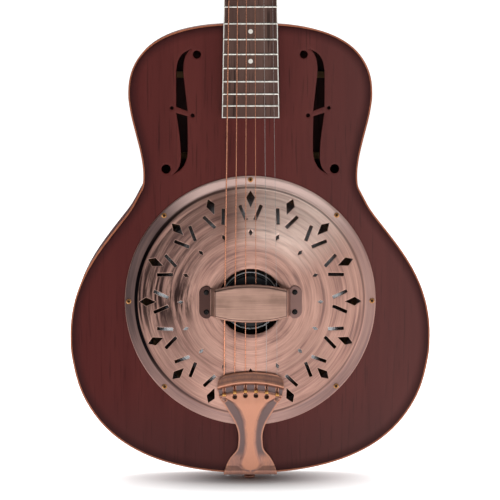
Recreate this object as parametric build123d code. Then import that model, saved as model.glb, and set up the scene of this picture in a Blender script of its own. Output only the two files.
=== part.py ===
from build123d import *
import math
import os

os.makedirs("parts", exist_ok=True)

# All sizes are in millimetres.
# Shapes are drawn in body coordinates: x across, s up the guitar from the tail,
# h forward from the outer face of the soundboard.  save() turns them into the
# shared frame: X across, Z up the guitar, the front facing -Y.

# Body outline
body_length = 470.3
lower_bout_width = 376.0
waist_width = 222.6
upper_bout_width = 253.2
lower_bout_rise = 146.2
waist_drop = 156.8
upper_bout_drop = 71.5
tail_handle = 158.5
lower_bout_low_handle = 60.7
lower_bout_high_handle = 88.2
waist_low_handle = 45.2
waist_high_handle = 27.4
upper_bout_low_handle = 27.0
upper_bout_high_handle = 78.4
top_handle = 20.0

# Body box
body_depth = 86.0
plate_thickness = 3.0
side_thickness = 2.4
binding_width = 1.6
binding_height = 5.0
lining_width = 6.0
lining_height = 12.0
neck_block_width = 74.0
neck_block_length = 42.0
tail_block_width = 80.0
tail_block_length = 20.0
brace_height = 12.0
brace_end_room = 0.3
front_brace_width = 8.0
front_brace_length = 104.0
front_brace_drops = (66.0, 136.0)
back_brace_width = 6.5
back_brace_drops = (54.7, 140.8, 288.0, 400.0)

# Sound openings, laid out from a point between the two slots of each f-hole
f_hole_offset = 71.0
f_hole_drop = 90.3
f_round_holes = (
    (-15.7, 58.7, 4.2),
    (16.6, -59.9, 4.8),
    (10.4, 3.4, 1.9),
    (-11.1, -4.4, 2.1),
)

# Strings and scale
scale_length = 648.0
body_fret = 14
body_fret_lap = 0.35
fret_count = 20
nut_spacing = 35.8
saddle_spacing = 53.8
tail_spacing = 55.4
string_diameters = (0.30, 0.41, 0.61, 0.81, 1.07, 1.35)
wound_from = 3
nut_string_height = 11.7
saddle_string_height = 16.0

# Resonator
cone_radius = 120.6
cone_wall = 0.8
cone_rim_width = 7.5
cone_top_radius = 33.0
cone_top_height = -6.0
cone_bead_radius = 29.6
cone_bead_height = 2.6
cone_room = 0.9
well_wall = 10.5
well_ledge_width = 8.5
well_ledge_height = -29.0
well_ledge_thickness = 7.0
well_port_count = 8
well_port_radius = 6.0
well_port_height = -15.0
biscuit_radius = 27.4
biscuit_thickness = 10.0
saddle_width = 62.0
saddle_thickness = 3.0
saddle_crest = 0.5
saddle_side_height = 7.0
saddle_slot_depth = 3.0
saddle_horn = 0.6

# Cover plate
cover_radius = 131.0
cover_gauge = 1.2
cover_flange_width = 9.9
cover_step_width = 3.6
cover_step_height = 3.4
cover_crown_height = 10.0
cover_table_radius = 57.0
cover_hole_radius = 34.2
cover_screw_circle = 127.0
cover_screw_count = 8
cutout_axes = 16
kite_inner = 98.4
kite_wide = 108.8
kite_outer = 115.8
kite_width = 9.2
slot_circle = 93.5
slot_spread = 4.8
slot_splay = 24.0
slot_length = 16.7
slot_width = 3.5
diamond_circle = 72.8
diamond_length = 6.8
diamond_width = 3.9

# Palm rest
palm_gauge = 1.2
palm_span = 107.0
palm_tab_width = 11.8
palm_tab_height = 34.4
palm_tab_corner = 5.5
palm_base_width = 83.0
palm_top_width = 75.5
palm_middle_height = 40.3
palm_end_height = 27.9
palm_top_level = 27.0
palm_lip = 4.0
palm_bevel = 2.6
palm_screw_rise = 10.3
palm_screw_inset = 1.6

# Tailpiece
tail_gauge = 1.2
tail_leg_gauge = 1.6
tail_reach = 72.8
tail_front_radius = 123.2
tail_front_half_width = 34.5
tail_foot_half_width = 27.9
tail_waist_half_width = 12.7
tail_leg_bottom = -60.0
tail_leg_tip_half_width = 13.0
tail_lip_height = 13.5
tail_ridge_height = 16.0
tail_groove_height = 12.4
tail_plateau_height = 13.2
tail_ridge_back = 11.2
tail_groove_front_back = 15.0
tail_groove_end_back = 19.0
tail_plateau_back = 21.0
tail_slope_back = 36.0
tail_edge_height = 3.0
tail_end_height = 1.6
tail_spine_rise = 1.0
ball_hole_back = 24.9
ball_hole_radius = 2.4
ball_slot_back = 13.2
ball_back = 20.2
ball_radius = 1.9
ball_length = 3.4
slot_side_room = 0.25

# Fasteners
thread_room = 0.05
wood_screw_radius = 1.4
cover_screw_head_radius = 2.7
cover_screw_head_height = 1.5
cover_screw_length = 12.0
palm_screw_radius = 1.2
palm_screw_head_radius = 2.8
palm_screw_head_height = 1.4
palm_screw_length = 5.0
tail_screw_head_radius = 3.0
tail_screw_head_height = 3.0
tail_screw_length = 16.0
tail_screw_offset = 23.5
tail_screw_level = -9.0
tail_screw_low_level = -55.5
strap_button_radius = 5.9
strap_button_waist = 3.8
strap_button_height = 11.0
strap_screw_radius = 2.0
strap_screw_head_radius = 3.4
strap_screw_head_height = 1.4
strap_screw_length = 22.0
strap_level = -43.0
biscuit_screw_radius = 1.6
biscuit_screw_head_radius = 3.5
biscuit_screw_head_height = 2.0
biscuit_screw_length = 6.2
neck_bolt_radius = 3.0
neck_bolt_head_radius = 6.0
neck_bolt_head_height = 4.0
neck_bolt_reaches = ((-24.0, 22.0), (-60.0, 12.0))

# Neck and fretboard
riser_height = 3.5
riser_inset = 1.0
fretboard_thickness = 6.5
fretboard_nut_width = 43.0
fretboard_body_width = 55.8
fretboard_binding = 0.9
fretboard_end_margin = 12.6
fret_crown_width = 2.2
fret_crown_height = 1.1
fret_tang_width = 0.6
fret_tang_depth = 1.8
fret_end_inset = 0.3
dot_radius = 2.4
dot_depth = 1.5
dot_frets = (3, 5, 7, 9, 12, 15, 17)
octave_dot_spread = 9.0
neck_depth_nut = 14.5
neck_depth_heel = 17.5
heel_top_length = 46.0
heel_middle_length = 30.0
heel_middle_half_width = 19.0
heel_tip_length = 17.0
heel_tip_half_width = 11.0
nut_length = 6.0
nut_top_height = 12.6
nut_slot_fall = 2.7

# Headstock
head_angle = 14.0
head_length = 185.0
head_thickness = 15.0
veneer_thickness = 2.0
head_shoulder_half_width = 31.0
head_shoulder = 26.0
head_end_half_width = 36.0
head_corner = 168.0
head_foot_lap = 4.0
truss_radius = 2.5
truss_level = -3.0
truss_start_gap = 10.0
truss_nut_flats = 7.0
truss_nut_length = 10.0
truss_nut_gap = 2.5
truss_nut_room = 0.05
truss_thread_end = 7.0
truss_pocket_half_width = 5.0
truss_pocket_depth = 5.6
truss_pocket_length = 32.0
truss_cover_start = 1.5
truss_cover_length = 46.0
truss_cover_half_width = 11.5
truss_cover_tip_half_width = 4.5
truss_cover_thickness = 2.0
head_screw_radius = 1.0
head_screw_head_radius = 2.0
head_screw_head_height = 1.2
head_screw_length = 9.0

# Tuners
tuner_first = 45.0
tuner_pitch = 38.0
tuner_offset = 22.0
post_radius = 3.1
post_top = 11.5
post_spigot_radius = 2.0
post_hole_radius = 4.2
running_room = 0.05
ferrule_flange_radius = 5.6
ferrule_flange_height = 1.3
ferrule_depth = 8.0
coil_level = 3.6
coil_turns = 3
coil_lap = 0.94
coil_bite = 0.3
coil_room = 0.3
stub_level = 9.4
stub_reach = 2.6
tuner_plate_gauge = 1.4
tuner_plate_half_width = 12.0
tuner_plate_margin = 15.0
gear_teeth = 15
gear_module = 0.8
gear_addendum = 0.7
gear_dedendum = 0.9
gear_thickness = 2.2
gear_tooth_thickness = 1.0
gear_tip_thickness = 0.5
gear_root_thickness = 1.35
worm_pitch_radius = 3.3
worm_thread_thickness = 0.8
worm_crest = 0.4
worm_root_thickness = 1.25
worm_half_length = 4.1
worm_plate_room = 0.4
shaft_radius = 1.6
ear_inner = 6.0
ear_thickness = 1.5
ear_half_width = 2.9
shaft_end_room = 0.8
gear_screw_radius = 3.2
gear_screw_height = 1.3
button_start = 20.5
button_length = 17.0
button_half_width = 7.6
button_thickness = 6.2

# Levels and stations shared by several pieces
half_depth = body_depth / 2
saddle_s = body_length + body_fret_lap - scale_length * 2 ** (-body_fret / 12)
nut_s = saddle_s + scale_length
head_s = nut_s + nut_length
board_level = riser_height + fretboard_thickness
last_fret_s = saddle_s + scale_length * 2 ** (-fret_count / 12)
board_end_s = last_fret_s - fretboard_end_margin
opening_radius = cone_radius + cone_room
tail_front_s = saddle_s - tail_reach
gear_pitch_radius = gear_module * gear_teeth / 2
worm_drop = gear_pitch_radius + worm_pitch_radius
worm_outer = worm_pitch_radius + gear_addendum
worm_root = worm_pitch_radius - gear_dedendum
worm_level = -(head_thickness + tuner_plate_gauge + worm_plate_room + worm_outer)
cone_centre = Pos(0, saddle_s, 0)
head_plane = Plane(
    origin=(0, head_s, riser_height + veneer_thickness),
    x_dir=(1, 0, 0),
    z_dir=(0, math.sin(math.radians(head_angle)), math.cos(math.radians(head_angle))),
)
front_plane = Plane(origin=(0, -half_depth, 0), x_dir=(1, 0, 0), z_dir=(0, -1, 0))


def save(name, shapes):
    """Write one node, turned into the shared frame."""
    if not isinstance(shapes, list):
        shapes = [shapes]
    solids = [solid for shape in shapes for solid in shape.solids()]
    placed = [front_plane * solid for solid in solids]
    node = placed[0] if len(placed) == 1 else Compound(placed)
    export_step(node, f"parts/{name}.step")


def block(x_limits, s_limits, h_limits):
    """A rectangular block between three pairs of limits."""
    limits = (x_limits, s_limits, h_limits)
    size = [high - low for low, high in limits]
    middle = [(high + low) / 2 for low, high in limits]
    return Pos(*middle) * Box(*size)


def rod(radius, start, end):
    """A round bar between two points."""
    direction = Vector(*end) - Vector(*start)
    return Plane(origin=start, z_dir=direction) * extrude(Circle(radius), direction.length)


def prism(points, low, high):
    """A flat polygon in x and s, between two levels."""
    return Pos(0, 0, low) * extrude(make_face(Polyline(*points, close=True)), high - low)


def turned(points):
    """A ring or disc turned about the h axis from (radius, h) points."""
    profile = make_face(Polyline(*[(r, 0, h) for r, h in points], close=True))
    return revolve(profile, Axis.Z)


def both_sides(shape):
    """A shape and its mirror image across the centre line."""
    return [shape, mirror(shape, about=Plane.YZ)]


# Body outline


def outline_span(start, start_handle, end_handle, end, inset):
    """One span of the outline, moved inward by the inset."""
    steps = 8
    points = []
    for step in range(steps + 1):
        t = step / steps
        u = 1 - t
        weights = (u ** 3, 3 * u * u * t, 3 * u * t * t, t ** 3)
        slopes = (-3 * u * u, 3 * u * u - 6 * u * t, 6 * u * t - 3 * t * t, 3 * t * t)
        corners = (start, start_handle, end_handle, end)
        x = sum(w * c[0] for w, c in zip(weights, corners))
        s = sum(w * c[1] for w, c in zip(weights, corners))
        dx = sum(w * c[0] for w, c in zip(slopes, corners))
        ds = sum(w * c[1] for w, c in zip(slopes, corners))
        length = math.hypot(dx, ds)
        points.append((x - inset * ds / length, s + inset * dx / length))
    leave = (start_handle[0] - start[0], start_handle[1] - start[1])
    arrive = (end[0] - end_handle[0], end[1] - end_handle[1])
    return Spline(*points, tangents=[leave, arrive])


def outline_face(inset):
    """The body outline, moved inward by the inset."""
    lower = (lower_bout_width / 2, lower_bout_rise)
    waist = (waist_width / 2, body_length - waist_drop)
    upper = (upper_bout_width / 2, body_length - upper_bout_drop)
    tail = (0, 0)
    top = (0, body_length)
    above_lower = (lower[0], lower[1] + lower_bout_high_handle)
    below_lower = (lower[0], lower[1] - lower_bout_low_handle)
    above_waist = (waist[0], waist[1] + waist_high_handle)
    below_waist = (waist[0], waist[1] - waist_low_handle)
    above_upper = (upper[0], upper[1] + upper_bout_high_handle)
    below_upper = (upper[0], upper[1] - upper_bout_low_handle)
    spans = [
        (tail, (tail_handle, 0), below_lower, lower),
        (lower, above_lower, below_waist, waist),
        (waist, above_waist, below_upper, upper),
        (upper, above_upper, (top_handle, body_length), top),
    ]
    right = [outline_span(*span, inset) for span in spans]
    left = [mirror(edge, about=Plane.YZ) for edge in right]
    return make_face(right + left)


def slab(inset, low, high):
    """The body outline between two levels."""
    return Pos(0, 0, low) * extrude(outline_face(inset), high - low)


def ring(outer_inset, inner_inset, low, high):
    """A band following the body outline."""
    return slab(outer_inset, low, high) - slab(inner_inset, low - 1, high + 1)


# Fastener positions


def around(radius, count, start=0.0):
    """Places spread evenly round the cone's centre."""
    for index in range(count):
        angle = math.radians(start + 360 * index / count)
        yield radius * math.sin(angle), saddle_s + radius * math.cos(angle)


def cover_screw_places():
    """Rim screws, at the top and then every eighth of a turn."""
    return list(around(cover_screw_circle, cover_screw_count))


def palm_screw_places():
    """The four screws through the palm rest's tabs."""
    across = (palm_span - palm_tab_width) / 2 - palm_screw_inset
    rises = (-palm_screw_rise, palm_screw_rise)
    return [(x, saddle_s + rise) for x in (-across, across) for rise in rises]


def tail_screw_places():
    """Across and height of the screws through the tailpiece's leg."""
    upper = [(x, tail_screw_level) for x in (-tail_screw_offset, tail_screw_offset)]
    return upper + [(0, tail_screw_low_level)]


def shank_hole(radius, start, end):
    """The clearance hole of a screw or bolt between two points."""
    return rod(radius + thread_room, start, end)


def pan_screw(shank_radius, length, head_radius, head_height):
    """A pan-headed screw along -Z with the underside of its head at 0 and a cross slot."""
    screw = turned(
        [
            (0, -length),
            (shank_radius * 0.25, -length),
            (shank_radius, shank_radius * 2 - length),
            (shank_radius, 0),
            (head_radius, 0),
            (head_radius, head_height * 0.45),
            (head_radius * 0.62, head_height),
            (0, head_height),
        ]
    )
    slot = Pos(0, 0, head_height) * Box(head_radius * 1.15, head_radius * 0.3, head_height * 0.9)
    return screw - slot - Rot(0, 0, 90) * slot


# Body


def f_hole_tools():
    """Cutters for both f-holes: two slots and four round holes a side."""
    place = Pos(f_hole_offset, body_length - f_hole_drop, 0)
    upper = [
        Spline((-10, 64.5), (-1.3, 59.8), (3.8, 52.1), (5.9, 41.7)),
        Polyline((5.9, 41.7), (5.9, 4.7), (-5.9, 0.2)),
        Spline((-5.9, 0.2), (-3.1, 25.3), (-1.5, 42.2), (-2.8, 54.2), (-6.5, 61.6), (-10, 64.5)),
    ]
    start = (5.8, -1.7)
    corner = (-5.6, -5.1)
    tip = (9.4, -65.4)
    outer_side = [corner, (-6, -27.3), (-5.8, -43.3), (-4.2, -51.3), (-1, -57.7), (3, -61.7), tip]
    inner_side = [tip, (6.2, -62.5), (3, -57.7), (1.4, -51.3), (1.2, -43.3), (2.3, -27.3), start]
    lower = [Line(start, corner), Spline(*outer_side), Spline(*inner_side)]
    cutters = [extrude(make_face(upper), 10), extrude(make_face(lower), 10)]
    cutters += [Pos(x, s, 5) * Cylinder(radius, 10) for x, s, radius in f_round_holes]
    placed = [place * Pos(0, 0, -plate_thickness - 3) * cutter for cutter in cutters]
    return [side for cutter in placed for side in both_sides(cutter)]


def make_soundboard():
    """The front plate with its f-holes, cone opening and screw holes."""
    board = slab(binding_width, -plate_thickness, 0)
    board -= cone_centre * Cylinder(opening_radius, 4 * plate_thickness)
    board = board - f_hole_tools()
    return board - [shank_hole(wood_screw_radius, (x, s, -9), (x, s, 1)) for x, s in cover_screw_places()]


def make_back():
    """The flat back plate."""
    return slab(binding_width, -body_depth, plate_thickness - body_depth)


def end_screw_holes():
    """Clearance for every screw driven into the tail end."""
    depth = tail_screw_length + 1
    holes = [shank_hole(wood_screw_radius, (x, -9, h), (x, depth, h)) for x, h in tail_screw_places()]
    strap_end = (0, strap_screw_length + 1, strap_level)
    holes.append(shank_hole(strap_screw_radius, (0, -9, strap_level), strap_end))
    return holes


def neck_bolt_holes():
    """Clearance for the two bolts that hold the neck."""
    start = body_length - 80
    holes = []
    for h, reach in neck_bolt_reaches:
        holes.append(shank_hole(neck_bolt_radius, (0, start, h), (0, body_length + reach, h)))
    return holes


def make_sides():
    """The bent sides, bass and treble, rebated for the binding."""
    wall = ring(0, side_thickness, plate_thickness - body_depth, -plate_thickness)
    wall -= ring(-1, binding_width, -binding_height, 1)
    wall -= ring(-1, binding_width, -body_depth - 1, binding_height - body_depth)
    wall = wall - end_screw_holes() - neck_bolt_holes()
    half = block((0, lower_bout_width), (-10, body_length + 10), (-body_depth - 1, 1))
    return [wall & half, wall - half]


def make_binding():
    """Wood binding round the front edge and round the back edge."""
    front = ring(0, binding_width, -binding_height, 0)
    back = ring(0, binding_width, -body_depth, binding_height - body_depth)
    return [front, back]


def neck_block_room():
    """The space the neck block takes up."""
    return block(
        (-neck_block_width / 2, neck_block_width / 2),
        (body_length - side_thickness - neck_block_length, body_length + 10),
        (-body_depth, 0),
    )


def make_neck_block():
    """The block inside the body that takes the neck bolts."""
    filled = slab(side_thickness, plate_thickness - body_depth, -plate_thickness)
    return (filled & neck_block_room()) - neck_bolt_holes()


def tail_block_room():
    """The space the tail block takes up."""
    return block(
        (-tail_block_width / 2, tail_block_width / 2),
        (-10, side_thickness + tail_block_length),
        (-body_depth, 0),
    )


def make_tail_block():
    """The block inside the tail that takes the end screws."""
    filled = slab(side_thickness, plate_thickness - body_depth, -plate_thickness)
    return (filled & tail_block_room()) - end_screw_holes()


def make_linings():
    """Strips joining the sides to the plates, between the two blocks."""
    inner = side_thickness + lining_width
    low = plate_thickness - body_depth
    front = ring(side_thickness, inner, -plate_thickness - lining_height, -plate_thickness)
    back = ring(side_thickness, inner, low, low + lining_height)
    blocks = neck_block_room() + tail_block_room()
    return [front - blocks, back - blocks]


def make_front_braces():
    """Short bars under the soundboard, between the f-holes."""
    reach = front_brace_length / 2
    bars = []
    for drop in front_brace_drops:
        s = body_length - drop
        bars.append(
            block(
                (-reach, reach),
                (s - front_brace_width / 2, s + front_brace_width / 2),
                (-plate_thickness - brace_height, -plate_thickness),
            )
        )
    return bars


def make_back_braces():
    """Bars across the back plate, ending just short of the linings."""
    low = plate_thickness - body_depth
    inside = slab(side_thickness + lining_width + brace_end_room, low, low + brace_height)
    across = (-lower_bout_width, lower_bout_width)
    bars = []
    for drop in back_brace_drops:
        s = body_length - drop
        limits = (s - back_brace_width / 2, s + back_brace_width / 2)
        bars.append(inside & block(across, limits, (low, low + brace_height)))
    return bars


# Resonator


def make_soundwell():
    """The ring that carries the cone, with its ledge and sound ports."""
    outer = opening_radius + well_wall
    inner = opening_radius - well_ledge_width
    floor = well_ledge_height - well_ledge_thickness
    well = turned(
        [
            (opening_radius, -plate_thickness),
            (outer, -plate_thickness),
            (outer, floor),
            (inner, floor),
            (inner, well_ledge_height),
            (opening_radius, well_ledge_height),
        ]
    )
    well = cone_centre * well
    ports = []
    for x, s in around(outer + 5, well_port_count, 180 / well_port_count):
        ports.append(rod(well_port_radius, (0, saddle_s, well_port_height), (x, s, well_port_height)))
    deep = -cover_screw_length
    holes = [shank_hole(wood_screw_radius, (x, s, deep), (x, s, 1)) for x, s in cover_screw_places()]
    return well - ports - holes


def make_cone():
    """The spun cone: flat rim, conical wall, raised bead and a flat centre."""
    rim_inner = cone_radius - cone_rim_width
    base = well_ledge_height
    bead_top = cone_top_height + cone_bead_height
    upper = [
        (cone_radius, base + cone_wall),
        (rim_inner, base + cone_wall),
        (cone_top_radius, cone_top_height),
        (cone_bead_radius + 1.3, bead_top - 0.5),
        (cone_bead_radius, bead_top),
        (cone_bead_radius - 1.2, bead_top - 0.5),
        (biscuit_radius + 0.4, cone_top_height),
        (biscuit_screw_radius + thread_room, cone_top_height),
    ]
    lower = [(r, h - cone_wall) for r, h in reversed(upper)]
    return cone_centre * turned(upper + lower)


def make_biscuit():
    """The wooden disc on top of the cone, slotted for the saddle."""
    top = cone_top_height + biscuit_thickness
    disc = turned(
        [
            (0, cone_top_height),
            (biscuit_radius, cone_top_height),
            (biscuit_radius, top - 1.5),
            (biscuit_radius - 1.5, top),
            (0, top),
        ]
    )
    disc -= Pos(0, 0, top) * Box(4 * biscuit_radius, saddle_thickness, 2 * saddle_slot_depth)
    disc -= shank_hole(biscuit_screw_radius, (0, 0, cone_top_height - 1), (0, 0, cone_top_height + 6.5))
    return cone_centre * disc


def string_x(number, spacing):
    """Sideways place of a string, 1 on the treble side and 6 on the bass side."""
    return spacing / 2 - spacing * (number - 1) / 5


def make_saddle():
    """The saddle, crested and notched under each string."""
    bottom = cone_top_height + biscuit_thickness - saddle_slot_depth
    top = saddle_string_height + saddle_horn
    half = saddle_thickness / 2
    profile = Polyline(
        (0, -half, bottom),
        (0, half, bottom),
        (0, half, top - 1.6),
        (0, saddle_crest / 2, top),
        (0, -saddle_crest / 2, top),
        (0, -half, top - 1.6),
        close=True,
    )
    blank = Pos(-saddle_width / 2, 0, 0) * extrude(make_face(profile), saddle_width, dir=(1, 0, 0))
    seat = biscuit_radius - 1.8
    ends = [
        block((seat, saddle_width), (-5, 5), (bottom - 1, cone_top_height + biscuit_thickness + 3.0)),
        block((-saddle_width, -seat), (-5, 5), (bottom - 1, cone_top_height + biscuit_thickness + 3.0)),
    ]
    notches = []
    for number, diameter in enumerate(string_diameters, 1):
        x = string_x(number, saddle_spacing)
        reach = diameter / 2 + slot_side_room
        wedge = make_face(
            Polyline(
                (0, -4, saddle_string_height - 0.7),
                (0, 0, saddle_string_height),
                (0, 4, saddle_string_height - 0.3),
                (0, 4, top + 1),
                (0, -4, top + 1),
                close=True,
            )
        )
        notches.append(Pos(x - reach, 0, 0) * extrude(wedge, 2 * reach, dir=(1, 0, 0)))
    return cone_centre * (blank - ends - notches)


def make_biscuit_screw():
    """The screw that holds the biscuit to the cone from below."""
    screw = pan_screw(
        biscuit_screw_radius,
        biscuit_screw_length,
        biscuit_screw_head_radius,
        biscuit_screw_head_height,
    )
    return cone_centre * Pos(0, 0, cone_top_height - cone_wall) * Rot(180, 0, 0) * screw


# Cover plate


def cover_height(radius):
    """Level of the cover plate's outer surface inside the rim step."""
    step_inner = cover_radius - cover_flange_width - cover_step_width
    if radius <= cover_table_radius:
        return cover_crown_height
    share = (radius - cover_table_radius) / (step_inner - cover_table_radius)
    return cover_crown_height - (cover_crown_height - cover_step_height) * share ** 2


def cutout_tools():
    """Kites, splayed slots and diamonds cut through the cover plate."""
    kite = [(0, kite_inner), (kite_width / 2, kite_wide), (0, kite_outer), (-kite_width / 2, kite_wide)]
    diamond = [
        (0, diamond_circle - diamond_length / 2),
        (diamond_width / 2, diamond_circle),
        (0, diamond_circle + diamond_length / 2),
        (-diamond_width / 2, diamond_circle),
    ]
    shapes = [prism(kite, -5, 20), prism(diamond, -5, 20)]
    for sign in (-1, 1):
        bar = Rot(0, 0, -sign * (slot_splay - slot_spread)) * Box(slot_width, slot_length, 40)
        shapes.append(Rot(0, 0, -sign * slot_spread) * Pos(0, slot_circle, 0) * bar)
    tools = []
    for index in range(cutout_axes):
        turn = Rot(0, 0, 360 * index / cutout_axes)
        tools += [turn * shape for shape in shapes]
    return tools


def make_cover_plate():
    """The stamped cover plate."""
    step_outer = cover_radius - cover_flange_width
    step_inner = step_outer - cover_step_width
    dome = []
    for index in range(13):
        radius = step_inner + (cover_table_radius - step_inner) * index / 12
        dome.append((radius, cover_height(radius)))
    first_fall = 2 * (cover_crown_height - cover_step_height) / (step_inner - cover_table_radius)
    rim_top = (cover_radius, 0, cover_gauge)
    step_foot = (step_outer, 0, cover_gauge)
    step_head = (step_inner, 0, cover_step_height)
    table_edge = (cover_table_radius, 0, cover_crown_height)
    hole_edge = (cover_hole_radius, 0, cover_crown_height)
    edges = [
        Line(rim_top, step_foot),
        Line(step_foot, step_head),
        Spline(*[(r, 0, h) for r, h in dome], tangents=[(-1, 0, first_fall), (-1, 0, 0)]),
        Line(table_edge, hole_edge),
    ]
    down = Pos(0, 0, -cover_gauge)
    lowered = [down * edge for edge in edges]
    ends = [Line((r, 0, h - cover_gauge), (r, 0, h)) for r, _, h in (rim_top, hole_edge)]
    plate = revolve(make_face(edges + lowered + ends), Axis.Z)
    plate = cone_centre * (plate - cutout_tools())
    holes = [shank_hole(wood_screw_radius, (x, s, -1), (x, s, 5)) for x, s in cover_screw_places()]
    holes += [shank_hole(palm_screw_radius, (x, s, 0), (x, s, 20)) for x, s in palm_screw_places()]
    return plate - holes


def make_cover_screws():
    """The eight screws round the cover plate."""
    screw = pan_screw(
        wood_screw_radius,
        cover_screw_length,
        cover_screw_head_radius,
        cover_screw_head_height,
    )
    return [Pos(x, s, cover_gauge) * screw for x, s in cover_screw_places()]


# Palm rest


def palm_outline():
    """Plan of the raised part, with gently bowed long edges."""
    half = palm_base_width / 2
    middle = palm_middle_height / 2
    end = palm_end_height / 2
    edges = [
        ThreePointArc((-half, end), (0, middle), (half, end)),
        Line((half, end), (half, -end)),
        ThreePointArc((half, -end), (0, -middle), (-half, -end)),
        Line((-half, -end), (-half, end)),
    ]
    return make_face(edges)


def palm_arch(drop):
    """Side profile of the arch, its surface lowered by the drop."""
    base = palm_base_width / 2 - drop
    shoulder = palm_top_width / 2 + 1.2 - drop
    crown = palm_top_width / 2 - 1.4 - drop * 0.5
    top = palm_top_level - drop
    foot = cover_crown_height - (5 if drop else 0)
    points = [
        (-base, 0, foot),
        (-shoulder, 0, top - palm_bevel),
        (-crown, 0, top),
        (crown, 0, top),
        (shoulder, 0, top - palm_bevel),
        (base, 0, foot),
    ]
    profile = make_face(Polyline(*points, close=True))
    return Pos(0, palm_middle_height, 0) * extrude(profile, 2 * palm_middle_height, dir=(0, -1, 0))


def make_palm_rest():
    """The stamped bridge over the saddle, with a tab at each end."""
    plan = Pos(0, 0, cover_crown_height) * extrude(palm_outline(), palm_top_level)
    outer = palm_arch(0) & plan
    shell = outer - palm_arch(palm_gauge)
    inner_plan = offset(palm_outline(), -palm_gauge)
    lip_band = block((-palm_span, palm_span), (-50, 50), (palm_top_level - palm_lip, palm_top_level))
    lip = (outer & lip_band) - Pos(0, 0, cover_crown_height) * extrude(inner_plan, palm_top_level)
    rest = shell + lip
    tab_middle = (palm_span - palm_tab_width) / 2
    for sign in (-1, 1):
        tab = RectangleRounded(palm_tab_width, palm_tab_height, palm_tab_corner)
        rest += Pos(sign * tab_middle, 0, cover_crown_height) * extrude(tab, palm_gauge)
    rest = cone_centre * rest
    return rest - [shank_hole(palm_screw_radius, (x, s, 0), (x, s, 20)) for x, s in palm_screw_places()]


def make_palm_screws():
    """The four black screws through the tabs."""
    screw = pan_screw(
        palm_screw_radius,
        palm_screw_length,
        palm_screw_head_radius,
        palm_screw_head_height,
    )
    return [Pos(x, s, cover_crown_height + palm_gauge) * screw for x, s in palm_screw_places()]


# Tailpiece


def tail_profile():
    """Stations and levels of the tailpiece's outer surface, front to tail."""
    front = tail_front_s
    return [
        (front, tail_lip_height),
        (front - tail_ridge_back, tail_ridge_height),
        (front - tail_groove_front_back, tail_groove_height),
        (front - tail_groove_end_back, tail_groove_height),
        (front - tail_plateau_back, tail_plateau_height),
        (front - tail_slope_back, tail_plateau_height),
        (6, tail_edge_height),
        (0, tail_end_height),
    ]


def tail_plan():
    """Plan of the tailpiece: wide at the strings, narrow in the middle, flared at the foot."""
    front = tail_front_s
    centre = front - tail_front_radius
    corner = tail_front_half_width - 6.5
    corner_s = centre + math.sqrt(tail_front_radius ** 2 - corner ** 2)
    half = [
        ThreePointArc((-corner, corner_s), (0, front), (corner, corner_s)),
    ]
    for sign in (-1, 1):
        half.append(
            Spline(
                (sign * corner, corner_s),
                (sign * (tail_front_half_width - 1.2), front - 8.0),
                (sign * tail_front_half_width, front - 13.0),
                (sign * (tail_front_half_width - 5.6), front - 28.5),
                (sign * (tail_front_half_width - 11.5), front - 42.3),
                (sign * (tail_front_half_width - 18.0), front - 54.4),
                (sign * tail_waist_half_width, front - 65.3),
                (sign * tail_waist_half_width, 33.4),
                (sign * (tail_waist_half_width + 1.7), 25.0),
                (sign * (tail_foot_half_width - 6.6), 16.3),
                (sign * (tail_foot_half_width - 1.6), 6.0),
                (sign * tail_foot_half_width, -tail_leg_gauge),
            )
        )
    half.append(Line((-tail_foot_half_width, -tail_leg_gauge), (tail_foot_half_width, -tail_leg_gauge)))
    return make_face(half)


def tail_leg():
    """The part bent down over the tail end."""
    top = tail_end_height - tail_gauge
    points = [
        (-tail_foot_half_width, top),
        (tail_foot_half_width, top),
        (tail_foot_half_width, -16),
        (tail_leg_tip_half_width, -34),
        (tail_leg_tip_half_width, tail_leg_bottom + 5),
        (tail_leg_tip_half_width - 5, tail_leg_bottom),
        (5 - tail_leg_tip_half_width, tail_leg_bottom),
        (-tail_leg_tip_half_width, tail_leg_bottom + 5),
        (-tail_leg_tip_half_width, -34),
        (-tail_foot_half_width, -16),
    ]
    face = make_face(Polyline(*[(x, 0, h) for x, h in points], close=True))
    return extrude(face, tail_leg_gauge, dir=(0, -1, 0))


def tail_arc_s(back, x):
    """Station on an arc parallel to the tailpiece's front edge."""
    radius = tail_front_radius - back
    return tail_front_s - tail_front_radius + math.sqrt(radius ** 2 - x ** 2)


def ball_places():
    """Sideways place of each ball end and its keyhole."""
    return [string_x(number, tail_spacing) for number in range(1, 7)]


def make_tailpiece():
    """The stamped tailpiece with its keyholes and the leg over the tail."""
    upper = tail_profile()
    upper.append((-tail_leg_gauge, upper[-1][1]))
    lower = [(s, h - tail_gauge) for s, h in reversed(upper)]
    side = make_face(Polyline(*[(0, s, h) for s, h in upper + lower], close=True))
    half = tail_front_half_width + 5
    sheet = Pos(-half, 0, 0) * extrude(side, 2 * half, dir=(1, 0, 0))
    plan = Pos(0, 0, -5) * extrude(tail_plan(), 30)
    plate = sheet & plan
    start = tail_front_s - tail_slope_back
    spine = prism([(-8, start + 8), (8, start + 8), (6, 50), (6, 18), (-6, 18), (-6, 50)], 0, 20)
    raised = Pos(0, 0, tail_spine_rise) * sheet
    plate += raised & spine
    plate += tail_leg()
    cuts = end_screw_holes()
    for x in ball_places():
        hole_s = tail_arc_s(ball_hole_back, x)
        slot_s = tail_arc_s(ball_slot_back, x)
        reach = max(string_diameters) / 2 + slot_side_room
        cuts.append(rod(ball_hole_radius, (x, hole_s, 5), (x, hole_s, 20)))
        cuts.append(block((x - reach, x + reach), (hole_s, slot_s), (5, 20)))
    return plate - cuts


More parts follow.
